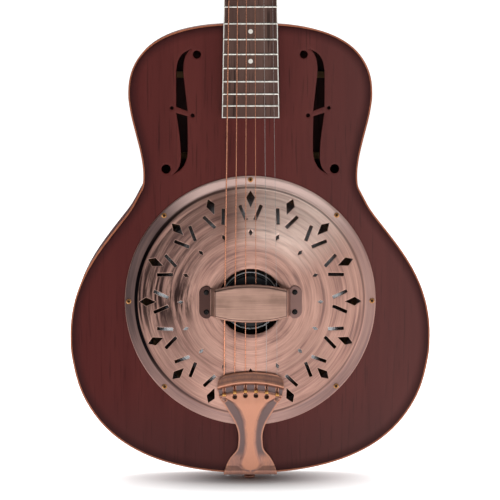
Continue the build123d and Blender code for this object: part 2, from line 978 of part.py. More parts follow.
def make_tailpiece_screws():
    """Screws holding the tailpiece's leg to the tail block."""
    screw = pan_screw(
        wood_screw_radius,
        tail_screw_length,
        tail_screw_head_radius,
        tail_screw_head_height,
    )
    turn = Rot(90, 0, 0)
    return [Pos(x, -tail_leg_gauge, h) * turn * screw for x, h in tail_screw_places()]


# Strap buttons


def strap_button():
    """A waisted button standing on its base, with a countersunk hole."""
    top = strap_button_height
    hole = strap_screw_radius + thread_room
    seat = strap_screw_head_radius + 0.1
    return turned(
        [
            (hole, 0),
            (strap_button_radius - 0.6, 0),
            (strap_button_radius - 0.6, 1.2),
            (strap_button_waist, 3.4),
            (strap_button_waist, 6.4),
            (strap_button_radius, 8.6),
            (strap_button_radius, top - 1.0),
            (strap_button_radius - 1.2, top),
            (seat, top),
            (seat, top - strap_screw_head_height),
            (hole, top - strap_screw_head_height),
        ]
    )


def strap_places():
    """The end button on the tailpiece's leg and the one on the heel cap."""
    end = Pos(0, -tail_leg_gauge, strap_level) * Rot(90, 0, 0)
    heel = Pos(0, body_length + heel_tip_length / 2, -body_depth) * Rot(180, 0, 0)
    return [end, heel]


def make_strap_buttons():
    """Both strap buttons."""
    return [place * strap_button() for place in strap_places()]


def make_strap_screws():
    """The screws inside the strap buttons."""
    screw = pan_screw(
        strap_screw_radius,
        strap_screw_length,
        strap_screw_head_radius,
        strap_screw_head_height,
    )
    seat = Pos(0, 0, strap_button_height - strap_screw_head_height)
    return [place * seat * screw for place in strap_places()]


# Neck


def board_half_width(s):
    """Half the fretboard's width, binding included, at a station."""
    body_s = saddle_s + scale_length * 2 ** (-body_fret / 12)
    share = (nut_s - s) / (nut_s - body_s)
    return (fretboard_nut_width + (fretboard_body_width - fretboard_nut_width) * share) / 2


def neck_section(s, depth):
    """Rounded section of the neck, hanging from the glue line."""
    half = board_half_width(s)
    plane = Plane(origin=(0, s, riser_height), x_dir=(1, 0, 0), z_dir=(0, 1, 0))
    curve = EllipticalCenterArc((0, 0), half, depth, start_angle=0, arc_size=180)
    return plane * make_face([curve, Line((-half, 0), (half, 0))])


def heel_section(h, half, length):
    """A D-shaped slice of the heel at one level."""
    start = body_length - 8
    curve = EllipticalCenterArc((0, 0), half, length + 8, start_angle=0, arc_size=180)
    return Pos(0, start, h) * make_face([curve, Line((-half, 0), (half, 0))])


def head_face():
    """Front face of the headstock, in its own plane."""
    start = fretboard_nut_width / 2
    lap = head_foot_lap
    side = [(start, -lap), (start, lap), (start + 2.4, 13), (head_shoulder_half_width, head_shoulder)]
    end_half = head_end_half_width - 7
    end_rise = head_length - 8
    edges = [
        Line((-start, -lap), (start, -lap)),
        ThreePointArc((-end_half, end_rise), (0, head_length), (end_half, end_rise)),
    ]
    for sign in (-1, 1):
        shoulder = (sign * head_shoulder_half_width, head_shoulder)
        corner = (sign * head_end_half_width, head_corner)
        knee = (sign * (head_end_half_width - 1.6), end_rise - 3)
        edges.append(Spline(*[(sign * x, u) for x, u in side]))
        edges.append(Line(shoulder, corner))
        edges.append(ThreePointArc(corner, knee, (sign * end_half, end_rise)))
    return make_face(edges)


def truss_pocket():
    """Room for the truss rod nut, open to the front of the headstock."""
    return block(
        (-truss_pocket_half_width, truss_pocket_half_width),
        (head_s + 0.5, head_s + truss_pocket_length),
        (truss_level - truss_pocket_depth, board_level),
    )


def above_glue_line():
    """Everything over the neck's glue line up to the end of the nut."""
    return block((-60, 60), (body_length - 60, head_s), (riser_height, 60))


def tuner_places():
    """String number, side of the headstock and distance along it, for each tuner."""
    places = []
    for index in range(3):
        along = tuner_first + index * tuner_pitch
        places.append((index + 1, 1, along))
        places.append((6 - index, -1, along))
    return sorted(places)


def post_holes():
    """Holes through the headstock for the posts."""
    hole = Cylinder(post_hole_radius, 4 * head_thickness)
    places = [Pos(side * tuner_offset, along, 0) for number, side, along in tuner_places()]
    return [head_plane * place * hole for place in places]


def plate_screw_places():
    """Screws through the tuner plates, as across, along and side."""
    places = []
    for side in (-1, 1):
        for index in range(4):
            along = tuner_first - tuner_pitch / 2 + index * tuner_pitch
            along += {0: 6.0, 3: -6.0}.get(index, 0.0)
            across = tuner_offset + (-1) ** index * (tuner_plate_half_width - 2.4)
            places.append((side * across, along))
    return places


def truss_cover_screw_places():
    """Screws through the truss rod cover, as across and along."""
    near = truss_cover_start + 5
    far = truss_cover_start + truss_cover_length - 4
    reach = truss_cover_half_width - 3
    return [(-reach, near), (reach, near), (0, far)]


def head_screw_holes():
    """Holes for the small screws in the headstock."""
    holes = []
    back = -head_thickness
    for x, along in plate_screw_places():
        inner = (x, along, back + head_screw_length)
        holes.append(shank_hole(head_screw_radius, (x, along, back - 9), inner))
    for x, along in truss_cover_screw_places():
        holes.append(shank_hole(head_screw_radius, (x, along, -head_screw_length), (x, along, 5)))
    return [head_plane * hole for hole in holes]


def heel_screw_hole():
    """Clearance for the screw of the strap button on the heel."""
    return strap_places()[1] * shank_hole(strap_screw_radius, (0, 0, 5), (0, 0, -strap_screw_length))


def make_neck():
    """One piece of mahogany: shaft, heel and headstock."""
    ends = [neck_section(body_length - 6, neck_depth_heel), neck_section(head_s, neck_depth_nut)]
    shaft = loft(ends, ruled=True)
    half = board_half_width(body_length)
    heel_low = plate_thickness - body_depth
    heel = loft(
        [
            heel_section(-1, half * 0.97, heel_top_length),
            heel_section(-30, heel_middle_half_width, heel_middle_length),
            heel_section(heel_low, heel_tip_half_width, heel_tip_length),
        ]
    )
    head = head_plane * Pos(0, 0, -head_thickness) * extrude(head_face(), head_thickness - veneer_thickness)
    neck = shaft + heel + head
    neck -= slab(0, -body_depth - 5, 0)
    neck -= block((-60, 60), (body_length - 60, body_length), (0, 10))
    neck -= above_glue_line()
    channel = truss_radius + thread_room
    neck -= block(
        (-channel, channel),
        (body_length + truss_start_gap - 1, head_s + 1),
        (truss_level - channel, riser_height + 1),
    )
    neck -= truss_pocket()
    return neck - post_holes() - head_screw_holes() - neck_bolt_holes() - [heel_screw_hole()]


def make_heel_cap():
    """The thin cap on the end of the heel, level with the back."""
    cap = extrude(heel_section(-body_depth, heel_tip_half_width, heel_tip_length), plate_thickness)
    return cap - slab(0, -body_depth - 5, 5) - heel_screw_hole()


def board_prism(start, end, trim, low, high):
    """A tapered strip that follows the fretboard's edges."""
    points = [
        (-board_half_width(start) + trim, start),
        (board_half_width(start) - trim, start),
        (board_half_width(end) - trim, end),
        (-board_half_width(end) + trim, end),
    ]
    return prism(points, low, high)


def fret_stations():
    """Station of every fret."""
    return [saddle_s + scale_length * 2 ** (-number / 12) for number in range(1, fret_count + 1)]


def dot_places():
    """Position dots, halfway between the frets on either side."""
    places = []
    stations = [nut_s] + fret_stations()
    for fret in dot_frets:
        s = (stations[fret - 1] + stations[fret]) / 2
        if fret == 12:
            places += [(-octave_dot_spread, s), (octave_dot_spread, s)]
        else:
            places.append((0, s))
    return places


def make_riser():
    """The strip that carries the fretboard over the body."""
    return board_prism(board_end_s + riser_inset, body_length, riser_inset, 0, riser_height)


def make_fretboard():
    """The fingerboard inside its binding, slotted for the frets."""
    trim = fretboard_binding
    board = board_prism(board_end_s + trim, nut_s, trim, riser_height, board_level)
    half = fret_tang_width / 2
    levels = (board_level - fret_tang_depth, board_level + 1)
    slots = [block((-60, 60), (s - half, s + half), levels) for s in fret_stations()]
    dots = [Pos(x, s, board_level) * Cylinder(dot_radius, 2 * dot_depth) for x, s in dot_places()]
    return board - slots - dots


def make_fretboard_binding():
    """White binding along both edges and across the end."""
    trim = fretboard_binding
    outer = board_prism(board_end_s, nut_s, 0, riser_height, board_level)
    return outer - board_prism(board_end_s + trim, nut_s + 1, trim, riser_height - 1, board_level + 1)


def make_frets():
    """Twenty frets, each a crown over a tang."""
    frets = []
    for s in fret_stations():
        reach = board_half_width(s) - fret_end_inset
        tang_reach = board_half_width(s) - fretboard_binding - 0.05
        half = fret_crown_width / 2
        crown = EllipticalCenterArc((0, 0), half, fret_crown_height, start_angle=0, arc_size=180)
        face = make_face([crown, Line((-half, 0), (half, 0))])
        plane = Plane(origin=(-reach, s, board_level), x_dir=(0, 1, 0), z_dir=(1, 0, 0))
        bar = plane * extrude(face, 2 * reach)
        tang = block(
            (-tang_reach, tang_reach),
            (s - fret_tang_width / 2, s + fret_tang_width / 2),
            (board_level - fret_tang_depth, board_level + 0.2),
        )
        frets.append(bar + tang)
    return frets


def make_dots():
    """The inlaid position dots."""
    dot = Cylinder(dot_radius, dot_depth)
    return [Pos(x, s, board_level - dot_depth / 2) * dot for x, s in dot_places()]


def head_point(x, along, level):
    """A point given in the headstock's own plane, in body coordinates."""
    return head_plane.from_local_coords(Vector(x, along, level))


def string_meets_post(number):
    """Where a string runs into the lowest of the turns round its post."""
    side, along = {n: (side, along) for n, side, along in tuner_places()}[number]
    radius = string_diameters[number - 1] / 2
    across = tuner_offset - post_radius - coil_room - radius * (1 + coil_bite)
    return head_point(side * across, along, coil_level)


def make_nut():
    """The nut, slotted for six strings."""
    half = fretboard_nut_width / 2
    blank = block((-half, half), (nut_s, head_s), (riser_height, nut_top_height))
    wedge = make_face(
        Polyline(
            (0, -1, nut_string_height),
            (0, 0, nut_string_height),
            (0, nut_length + 1, nut_string_height - nut_slot_fall),
            (0, nut_length + 1, nut_top_height + 1),
            (0, -1, nut_top_height + 1),
            close=True,
        )
    )
    slots = []
    for number, diameter in enumerate(string_diameters, 1):
        reach = diameter / 2 + slot_side_room
        x = string_x(number, nut_spacing)
        post = string_meets_post(number)
        turn = Rot(0, 0, -math.degrees(math.atan2(post.X - x, post.Y - nut_s)))
        slots.append(Pos(x, nut_s, 0) * turn * Pos(-reach, 0, 0) * extrude(wedge, 2 * reach, dir=(1, 0, 0)))
    return blank - slots


def truss_rod_limits():
    """Both ends of the truss rod."""
    return body_length + truss_start_gap, head_s + truss_nut_gap + truss_thread_end


def make_truss_rod():
    """The steel rod under the fretboard."""
    start, end = truss_rod_limits()
    return rod(truss_radius, (0, start, truss_level), (0, end, truss_level))


def make_truss_nut():
    """The hexagonal nut on the end of the truss rod."""
    start = head_s + truss_nut_gap
    plane = Plane(origin=(0, start, truss_level), x_dir=(1, 0, 0), z_dir=(0, 1, 0))
    nut = plane * extrude(RegularPolygon(truss_nut_flats / 2, 6, major_radius=False), truss_nut_length)
    end = start + truss_nut_length
    return nut - rod(truss_radius + truss_nut_room, (0, start - 1, truss_level), (0, end + 1, truss_level))


def truss_cover_face():
    """Bell-shaped outline of the truss rod cover."""
    start = truss_cover_start
    end = start + truss_cover_length
    wide = truss_cover_half_width
    tip = truss_cover_tip_half_width
    edges = [
        Line((-wide, start), (wide, start)),
        ThreePointArc((-tip, end - tip), (0, end), (tip, end - tip)),
    ]
    for sign in (-1, 1):
        edges.append(
            Spline(
                (sign * wide, start),
                (sign * (wide - 0.6), start + 9),
                (sign * (tip + 1.2), end - 22),
                (sign * tip, end - tip),
            )
        )
    return make_face(edges)


def make_truss_cover():
    """The plate over the truss rod pocket."""
    plate = head_plane * extrude(truss_cover_face(), truss_cover_thickness)
    return plate - head_screw_holes()


def make_veneer():
    """The thin facing on the front of the headstock."""
    veneer = head_plane * Pos(0, 0, -veneer_thickness) * extrude(head_face(), veneer_thickness)
    veneer -= block((-60, 60), (head_s - 60, head_s), (-60, 60))
    return veneer - truss_pocket() - post_holes() - head_screw_holes()


def make_neck_bolts():
    """Two hexagon-headed bolts from the neck block into the heel."""
    bolts = []
    start = body_length - side_thickness - neck_block_length
    for h, reach in neck_bolt_reaches:
        shank = rod(neck_bolt_radius, (0, start - 1, h), (0, body_length + reach - 1, h))
        plane = Plane(origin=(0, start - neck_bolt_head_height, h), x_dir=(1, 0, 0), z_dir=(0, 1, 0))
        head = plane * extrude(RegularPolygon(neck_bolt_head_radius, 6), neck_bolt_head_height)
        bolts.append(shank + head)
    return bolts


# Strings


def make_string(number):
    """One string, from its ball end to the turns round its post."""
    radius = string_diameters[number - 1] / 2
    tail_x = string_x(number, tail_spacing)
    side, along = {n: (side, along) for n, side, along in tuner_places()}[number]
    coil = post_radius + coil_room + radius
    slot_s = tail_arc_s(ball_slot_back, tail_x)
    ball_s = tail_arc_s(ball_back, tail_x)
    path = [
        (tail_x, ball_s + ball_radius + 0.4, tail_plateau_height + ball_radius - 0.2),
        (tail_x, slot_s - 2.9, tail_groove_height + radius + 0.6),
        (tail_x, slot_s - 0.9 - radius, tail_groove_height - tail_gauge - radius - 0.3),
        (string_x(number, saddle_spacing), saddle_s, saddle_string_height + radius),
        (string_x(number, nut_spacing), nut_s, nut_string_height + radius),
    ]
    path = [Vector(*point) for point in path]
    path.append(string_meets_post(number))
    section = Plane(origin=path[0], z_dir=path[1] - path[0]) * Circle(radius)
    wire = sweep(section, path=Polyline(*path), transition=Transition.RIGHT)
    for turn in range(coil_turns):
        level = coil_level + turn * 2 * radius * coil_lap
        wire += head_plane * Pos(side * tuner_offset, along, level) * Torus(coil, radius)
    return wire


def make_ball_ends():
    """The six barrel-shaped ball ends resting on the tailpiece."""
    balls = []
    for x in ball_places():
        s = tail_arc_s(ball_back, x)
        h = tail_plateau_height + ball_radius
        balls.append(rod(ball_radius, (x - ball_length / 2, s, h), (x + ball_length / 2, s, h)))
    return balls


# Tuners


def make_tuner_plates():
    """One long plate a side, each with six ears for the key shafts."""
    plates = []
    back = -head_thickness
    level = back - tuner_plate_gauge
    low = tuner_first - tuner_plate_margin
    high = tuner_first + 2 * tuner_pitch + tuner_plate_margin
    for side in (-1, 1):
        middle = side * tuner_offset
        edges = (middle - tuner_plate_half_width, middle + tuner_plate_half_width)
        plate = block(edges, (low, high), (level, back))
        for number, where, along in tuner_places():
            if where != side:
                continue
            worm_u = along - worm_drop
            for reach in (-ear_inner - ear_thickness / 2, ear_inner + ear_thickness / 2):
                ear = block(
                    (middle + reach - ear_thickness / 2, middle + reach + ear_thickness / 2),
                    (worm_u - ear_half_width, worm_u + ear_half_width),
                    (worm_level - ear_half_width, level + 0.1),
                )
                plate += ear
            ends = [(middle + reach, worm_u, worm_level) for reach in (-12, 12)]
            plate -= rod(shaft_radius + running_room, *ends)
            plate -= rod(post_radius + running_room, (middle, along, back - 9), (middle, along, back + 9))
        plates.append(head_plane * plate - head_screw_holes())
    return plates


def make_head_screws():
    """The small screws of the tuner plates and the truss rod cover."""
    screw = pan_screw(
        head_screw_radius,
        head_screw_length,
        head_screw_head_radius,
        head_screw_head_height,
    )
    back = -head_thickness - tuner_plate_gauge
    screws = [Pos(x, along, back) * Rot(180, 0, 0) * screw for x, along in plate_screw_places()]
    front = truss_cover_thickness
    screws += [Pos(x, along, front) * screw for x, along in truss_cover_screw_places()]
    return [head_plane * placed for placed in screws]


def make_ferrules():
    """Flanged bushes pressed into the front of the headstock."""
    bore = post_radius + running_room
    ferrule = turned(
        [
            (bore, -ferrule_depth),
            (post_hole_radius, -ferrule_depth),
            (post_hole_radius, 0),
            (ferrule_flange_radius, 0),
            (ferrule_flange_radius, ferrule_flange_height * 0.6),
            (ferrule_flange_radius - 0.8, ferrule_flange_height),
            (bore, ferrule_flange_height),
        ]
    )
    places = [Pos(side * tuner_offset, along, 0) for number, side, along in tuner_places()]
    return [head_plane * place * ferrule for place in places]


def worm_thread():
    """A right-handed helical thread about the Z axis, crest facing +X at mid length."""
    lead = math.pi * gear_module
    half_turns = worm_half_length / lead
    plane = Plane(origin=(worm_pitch_radius, 0, 0), x_dir=(1, 0, 0), z_dir=(0, -1, 0))
    inner = -gear_dedendum - 0.25
    section = Polyline(
        (inner, -worm_root_thickness / 2),
        (gear_addendum, -worm_crest / 2),
        (gear_addendum, worm_crest / 2),
        (inner, worm_root_thickness / 2),
        close=True,
    )
    face = plane * make_face(section)
    path = Helix(lead, 2 * half_turns * lead, worm_pitch_radius)
    thread = sweep(face, path=path, is_frenet=True)
    return Pos(0, 0, -half_turns * lead) * Rot(0, 0, -360 * half_turns) * thread


def key_blank():
    """Shaft, worm and button along +Z, worm in the middle at the origin."""
    inner_end = ear_inner + ear_thickness + shaft_end_room
    shaft = rod(shaft_radius, (0, 0, -inner_end), (0, 0, button_start + 4))
    core = Cylinder(worm_root, 2 * worm_half_length + 2.6)
    collar = Pos(0, 0, button_start - 1.5) * Cylinder(shaft_radius + 1.2, 3)
    ellipse = extrude(Ellipse(button_length / 2, button_half_width), button_thickness / 2, both=True)
    ellipse = fillet(ellipse.edges(), button_thickness / 2 - 0.9)
    button = Pos(0, 0, button_start + button_length / 2) * Rot(0, 90, 0) * ellipse
    return shaft + core + worm_thread() + collar + button


def key_location(side, along):
    """Place of a key: its worm beside the post and its button outward."""
    turn = Rot(0, 90, 0) if side > 0 else Rot(0, -90, 0)
    return Pos(side * tuner_offset, along - worm_drop, worm_level) * turn


def make_key(blank, side, along):
    """A tuner key in place, its thread facing the gear squarely."""
    return head_plane * key_location(side, along) * Rot(0, 0, 90) * blank


def gear_blank():
    """A straight-toothed wheel about Z with a tooth gap facing -Y."""
    outer = gear_pitch_radius + gear_addendum
    root = gear_pitch_radius - gear_dedendum
    wheel = Cylinder(root, gear_thickness)
    tooth_points = [
        (gear_root_thickness / 2, root - 0.3),
        (gear_tooth_thickness / 2, gear_pitch_radius),
        (gear_tip_thickness / 2, outer),
        (-gear_tip_thickness / 2, outer),
        (-gear_tooth_thickness / 2, gear_pitch_radius),
        (-gear_root_thickness / 2, root - 0.3),
    ]
    tooth = prism(tooth_points, -gear_thickness / 2, gear_thickness / 2)
    teeth = [Rot(0, 0, 360 * index / gear_teeth) * tooth for index in range(gear_teeth)]
    return wheel + teeth - Cylinder(post_spigot_radius, 2 * gear_thickness)


def make_gear(blank, side, along):
    """A gear in place on its post."""
    return head_plane * Pos(side * tuner_offset, along, worm_level) * blank


def make_post(number, side, along):
    """A string post with its spigot, gear screw and the cut end of its string."""
    gear_front = worm_level + gear_thickness / 2
    gear_back = worm_level - gear_thickness / 2
    profile = [
        (0, gear_back - gear_screw_height),
        (gear_screw_radius - 0.6, gear_back - gear_screw_height),
        (gear_screw_radius, gear_back - gear_screw_height * 0.4),
        (gear_screw_radius, gear_back),
        (post_spigot_radius, gear_back),
        (post_spigot_radius, gear_front),
        (post_radius, gear_front),
        (post_radius, post_top - 1.0),
        (post_radius - 0.8, post_top),
        (0, post_top),
    ]
    post = turned(profile)
    radius = string_diameters[number - 1] / 2
    reach = post_radius + stub_reach
    post += rod(radius, (-side * 0.5, 0, stub_level), (side * reach, 0, stub_level))
    return head_plane * Pos(side * tuner_offset, along, 0) * post


def main():
    """Build and write every node."""
    save("soundboard", make_soundboard())
    save("back_plate", make_back())
    save("sides", make_sides())
    save("body_binding", make_binding())
    save("neck_block", make_neck_block())
    save("tail_block", make_tail_block())
    save("linings", make_linings())
    save("front_braces", make_front_braces())
    save("back_braces", make_back_braces())
    save("soundwell", make_soundwell())
    save("cone", make_cone())
    save("biscuit", make_biscuit())
    save("saddle", make_saddle())
    save("biscuit_screw", make_biscuit_screw())
    save("cover_plate", make_cover_plate())
    save("cover_plate_screws", make_cover_screws())
    save("palm_rest", make_palm_rest())
    save("palm_rest_screws", make_palm_screws())
    save("tailpiece", make_tailpiece())
    save("tailpiece_screws", make_tailpiece_screws())
    save("strap_buttons", make_strap_buttons())
    save("strap_button_screws", make_strap_screws())
    save("neck", make_neck())
    save("heel_cap", make_heel_cap())
    save("fretboard_riser", make_riser())
    save("fretboard", make_fretboard())
    save("fretboard_binding", make_fretboard_binding())
    save("frets", make_frets())
    save("position_dots", make_dots())
    save("nut", make_nut())
    save("truss_rod", make_truss_rod())
    save("truss_rod_nut", make_truss_nut())
    save("truss_rod_cover", make_truss_cover())
    save("headstock_veneer", make_veneer())
    save("headstock_screws", make_head_screws())
    save("neck_bolts", make_neck_bolts())
    save("plain_strings", [make_string(number) for number in range(1, wound_from)])
    save("wound_strings", [make_string(number) for number in range(wound_from, 7)])
    save("ball_ends", make_ball_ends())
    save("tuner_plates", make_tuner_plates())
    save("tuner_ferrules", make_ferrules())
    key = key_blank()
    gear = gear_blank()
    for number, side, along in tuner_places():
        save(f"tuner_key_{number}", make_key(key, side, along))
        save(f"tuner_post_{number}", make_post(number, side, along))
        save(f"tuner_gear_{number}", make_gear(gear, side, along))


main()
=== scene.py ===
import math

import bpy
import numpy as np
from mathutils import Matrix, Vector, geometry, kdtree

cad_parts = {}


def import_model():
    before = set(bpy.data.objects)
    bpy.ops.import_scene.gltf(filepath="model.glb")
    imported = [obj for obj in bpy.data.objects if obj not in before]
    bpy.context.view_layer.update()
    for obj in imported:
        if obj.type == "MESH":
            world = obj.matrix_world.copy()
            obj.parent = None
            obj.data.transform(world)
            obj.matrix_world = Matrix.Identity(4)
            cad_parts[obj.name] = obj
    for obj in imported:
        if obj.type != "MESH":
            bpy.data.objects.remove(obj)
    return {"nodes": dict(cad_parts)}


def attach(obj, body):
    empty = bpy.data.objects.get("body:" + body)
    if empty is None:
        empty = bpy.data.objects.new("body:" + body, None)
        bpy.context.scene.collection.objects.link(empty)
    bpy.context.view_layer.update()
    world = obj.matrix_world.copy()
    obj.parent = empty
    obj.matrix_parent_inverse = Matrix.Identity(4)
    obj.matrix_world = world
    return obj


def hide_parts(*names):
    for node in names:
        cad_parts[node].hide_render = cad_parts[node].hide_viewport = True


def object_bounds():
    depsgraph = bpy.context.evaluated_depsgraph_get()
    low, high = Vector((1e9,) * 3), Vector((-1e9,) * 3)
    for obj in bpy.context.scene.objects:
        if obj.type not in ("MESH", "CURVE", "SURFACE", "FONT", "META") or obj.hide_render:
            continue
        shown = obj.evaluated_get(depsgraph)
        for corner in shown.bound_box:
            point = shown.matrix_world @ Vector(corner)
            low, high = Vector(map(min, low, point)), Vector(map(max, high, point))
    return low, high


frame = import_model()
cad_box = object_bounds()
nodes = frame["nodes"]

# Millimetres, except SCREW_RING, which only a material reads and is in metres.
FRONT = 43.0
SADDLE_S = 182.01
BODY_LENGTH = 470.3
COVER_RADIUS = 131.0
COVER_HOLE = 34.2
SCREW_RING = 0.127


# ---------------------------------------------------------------- small tools


def lin(r, g, b):
    """sRGB in 0-255 to linear RGBA."""
    out = []
    for c in (r, g, b):
        c /= 255
        out.append(c / 12.92 if c <= 0.04045 else ((c + 0.055) / 1.055) ** 2.4)
    return (*out, 1.0)


def world(points):
    """Body coordinates (x, s, h) in mm to the shared frame in metres."""
    p = np.asarray(points, float).reshape(-1, 3)
    return np.column_stack([p[:, 0], -FRONT - p[:, 2], p[:, 1]]) / 1000


def smooth(edge0, edge1, x):
    t = np.clip((np.asarray(x, float) - edge0) / (edge1 - edge0), 0, 1)
    return t * t * (3 - 2 * t)


def curve_through(points, steps=8, closed=False):
    """Catmull-Rom through points."""
    p = [np.array(q, float) for q in points]
    n = len(p)
    out = []
    for i in range(n if closed else n - 1):
        a = p[i - 1] if closed or i > 0 else 2 * p[0] - p[1]
        b = p[i]
        c = p[(i + 1) % n]
        d = p[(i + 2) % n] if closed or i + 2 < n else 2 * p[-1] - p[-2]
        for k in range(steps):
            t = k / steps
            out.append(0.5 * (2 * b + (c - a) * t + (2 * a - 5 * b + 4 * c - d) * t * t
                              + (3 * b - a - 3 * c + d) * t ** 3))
    if not closed:
        out.append(p[-1])
    return np.array(out)


def dense(loop, step):
    """Closed loop with no edge longer than step."""
    loop = np.asarray(loop, float)
    out = []
    for a, b in zip(loop, np.roll(loop, -1, axis=0)):
        n = max(1, int(math.ceil(np.linalg.norm(b - a) / step)))
        for k in range(n):
            out.append(a + (b - a) * k / n)
    return np.array(out)


def inside(points, loop):
    """Which points lie in a closed loop."""
    x, y = points[:, 0], points[:, 1]
    hit = np.zeros(len(points), bool)
    for (ax, ay), (bx, by) in zip(loop, np.roll(loop, -1, axis=0)):
        if ay == by:
            continue
        cross = ((ay > y) != (by > y)) & (x < (bx - ax) * (y - ay) / (by - ay) + ax)
        hit ^= cross
    return hit


def nearest(points, targets):
    """Distance from each point to the nearest target."""
    tree = kdtree.KDTree(len(targets))
    for i, t in enumerate(targets):
        tree.insert((t[0], t[1], 0), i)
    tree.balance()
    return np.array([tree.find((p[0], p[1], 0))[2] for p in points])


def moved_in(loop, distance, solid_inside):
    """A loop moved into the sheet's material."""
    area = 0.5 * np.sum(loop[:, 0] * np.roll(loop[:, 1], -1) - loop[:, 1] * np.roll(loop[:, 0], -1))
    ahead = np.roll(loop, -1, axis=0) - np.roll(loop, 1, axis=0)
    normal = np.column_stack([-ahead[:, 1], ahead[:, 0]])
    normal /= np.maximum(np.linalg.norm(normal, axis=1), 1e-9)[:, None]
    sign = 1 if (area > 0) == solid_inside else -1
    return loop + sign * distance * normal


def hex_grid(x0, x1, y0, y1, step):
    pts = []
    row = 0
    y = y0
    while y <= y1:
        xs = np.arange(x0 + (step / 2 if row % 2 else 0), x1 + 1e-6, step)
        pts += [(x, y) for x in xs]
        y += step * 0.866
        row += 1
    return np.array(pts)


def clear_of_holes(points, loops):
    """Which points lie in the first loop and in none of the others."""
    ok = inside(points, loops[0])
    for hole in loops[1:]:
        ok &= ~inside(points, hole)
    return ok


def sheet(name, outer, holes, grid, place, thickness, roll=0.25, attributes=None, sharp=35):
    """A formed sheet: plan loops and a grid, placed in space by place(), with rolled cut edges."""
    loops = [np.asarray(outer, float)] + [np.asarray(h, float) for h in holes]
    rings = []
    for i, loop in enumerate(loops):
        rings += [moved_in(loop, distance, i == 0) for distance in (roll * 0.35, roll)]
    edge_points = np.vstack([dense(loop, 0.5) for loop in loops])
    grid = grid[clear_of_holes(grid, loops)]
    grid = grid[nearest(grid, edge_points) > roll * 1.6]
    ring_points = np.vstack(rings)
    ring_points = ring_points[clear_of_holes(ring_points, loops)]
    ring_points = ring_points[nearest(ring_points, edge_points) > roll * 0.2]
    verts, edges = [], []
    for loop in loops:
        base = len(verts)
        verts += [Vector((float(a), float(b))) for a, b in loop]
        edges += [(base + k, base + (k + 1) % len(loop)) for k in range(len(loop))]
    verts += [Vector((float(a), float(b))) for a, b in ring_points]
    verts += [Vector((float(a), float(b))) for a, b in grid]
    co, _, tris, _, _, _ = geometry.delaunay_2d_cdt(verts, edges, [], 0, 1e-5)
    co = np.array([tuple(v) for v in co])
    tris = np.array([t for t in tris if len(t) == 3])
    tris = tris[clear_of_holes(co[tris].mean(axis=1), loops)]
    used = np.unique(tris)
    remap = -np.ones(len(co), int)
    remap[used] = np.arange(len(used))
    co, tris = co[used], remap[tris]
    a, b, c = co[tris[:, 0]], co[tris[:, 1]], co[tris[:, 2]]
    turn = (b[:, 0] - a[:, 0]) * (c[:, 1] - a[:, 1]) - (b[:, 1] - a[:, 1]) * (c[:, 0] - a[:, 0])
    tris[turn < 0] = tris[turn < 0][:, ::-1]
    away = nearest(co, edge_points)
    top = place(co)
    face = np.cross(top[tris[:, 1]] - top[tris[:, 0]], top[tris[:, 2]] - top[tris[:, 0]])
    normal = np.zeros_like(top)
    for k in range(3):
        np.add.at(normal, tris[:, k], face)
    normal /= np.maximum(np.linalg.norm(normal, axis=1), 1e-12)[:, None]
    t = np.clip(1 - away / roll, 0, 1)
    drop = roll * (1 - np.sqrt(np.maximum(1 - t * t, 0)))
    bottom = top - normal * thickness
    top = top - normal * drop[:, None]
    n = len(co)
    directed = np.vstack([tris[:, [0, 1]], tris[:, [1, 2]], tris[:, [2, 0]]])
    _, first, counts = np.unique(np.sort(directed, axis=1), axis=0, return_index=True, return_counts=True)
    rim = directed[first[counts == 1]]
    faces = [tuple(map(int, f)) for f in tris]
    faces += [tuple(int(v) + n for v in f[::-1]) for f in tris]
    faces += [(int(q), int(p), int(p) + n, int(q) + n) for p, q in rim]
    mesh = bpy.data.meshes.new(name)
    mesh.from_pydata([tuple(v) for v in world(np.vstack([top, bottom]))], [], faces)
    mesh.shade_smooth()
    mesh.set_sharp_from_angle(angle=math.radians(sharp))
    values = {"edge": away}
    if attributes:
        values.update(attributes(co, away))
    for key, value in values.items():
        layer = mesh.attributes.new(key, "FLOAT", "POINT")
        layer.data.foreach_set("value", np.concatenate([value, value]).astype(np.float32))
    obj = bpy.data.objects.new(name, mesh)
    bpy.context.collection.objects.link(obj)
    return obj


# ---------------------------------------------------------------- materials


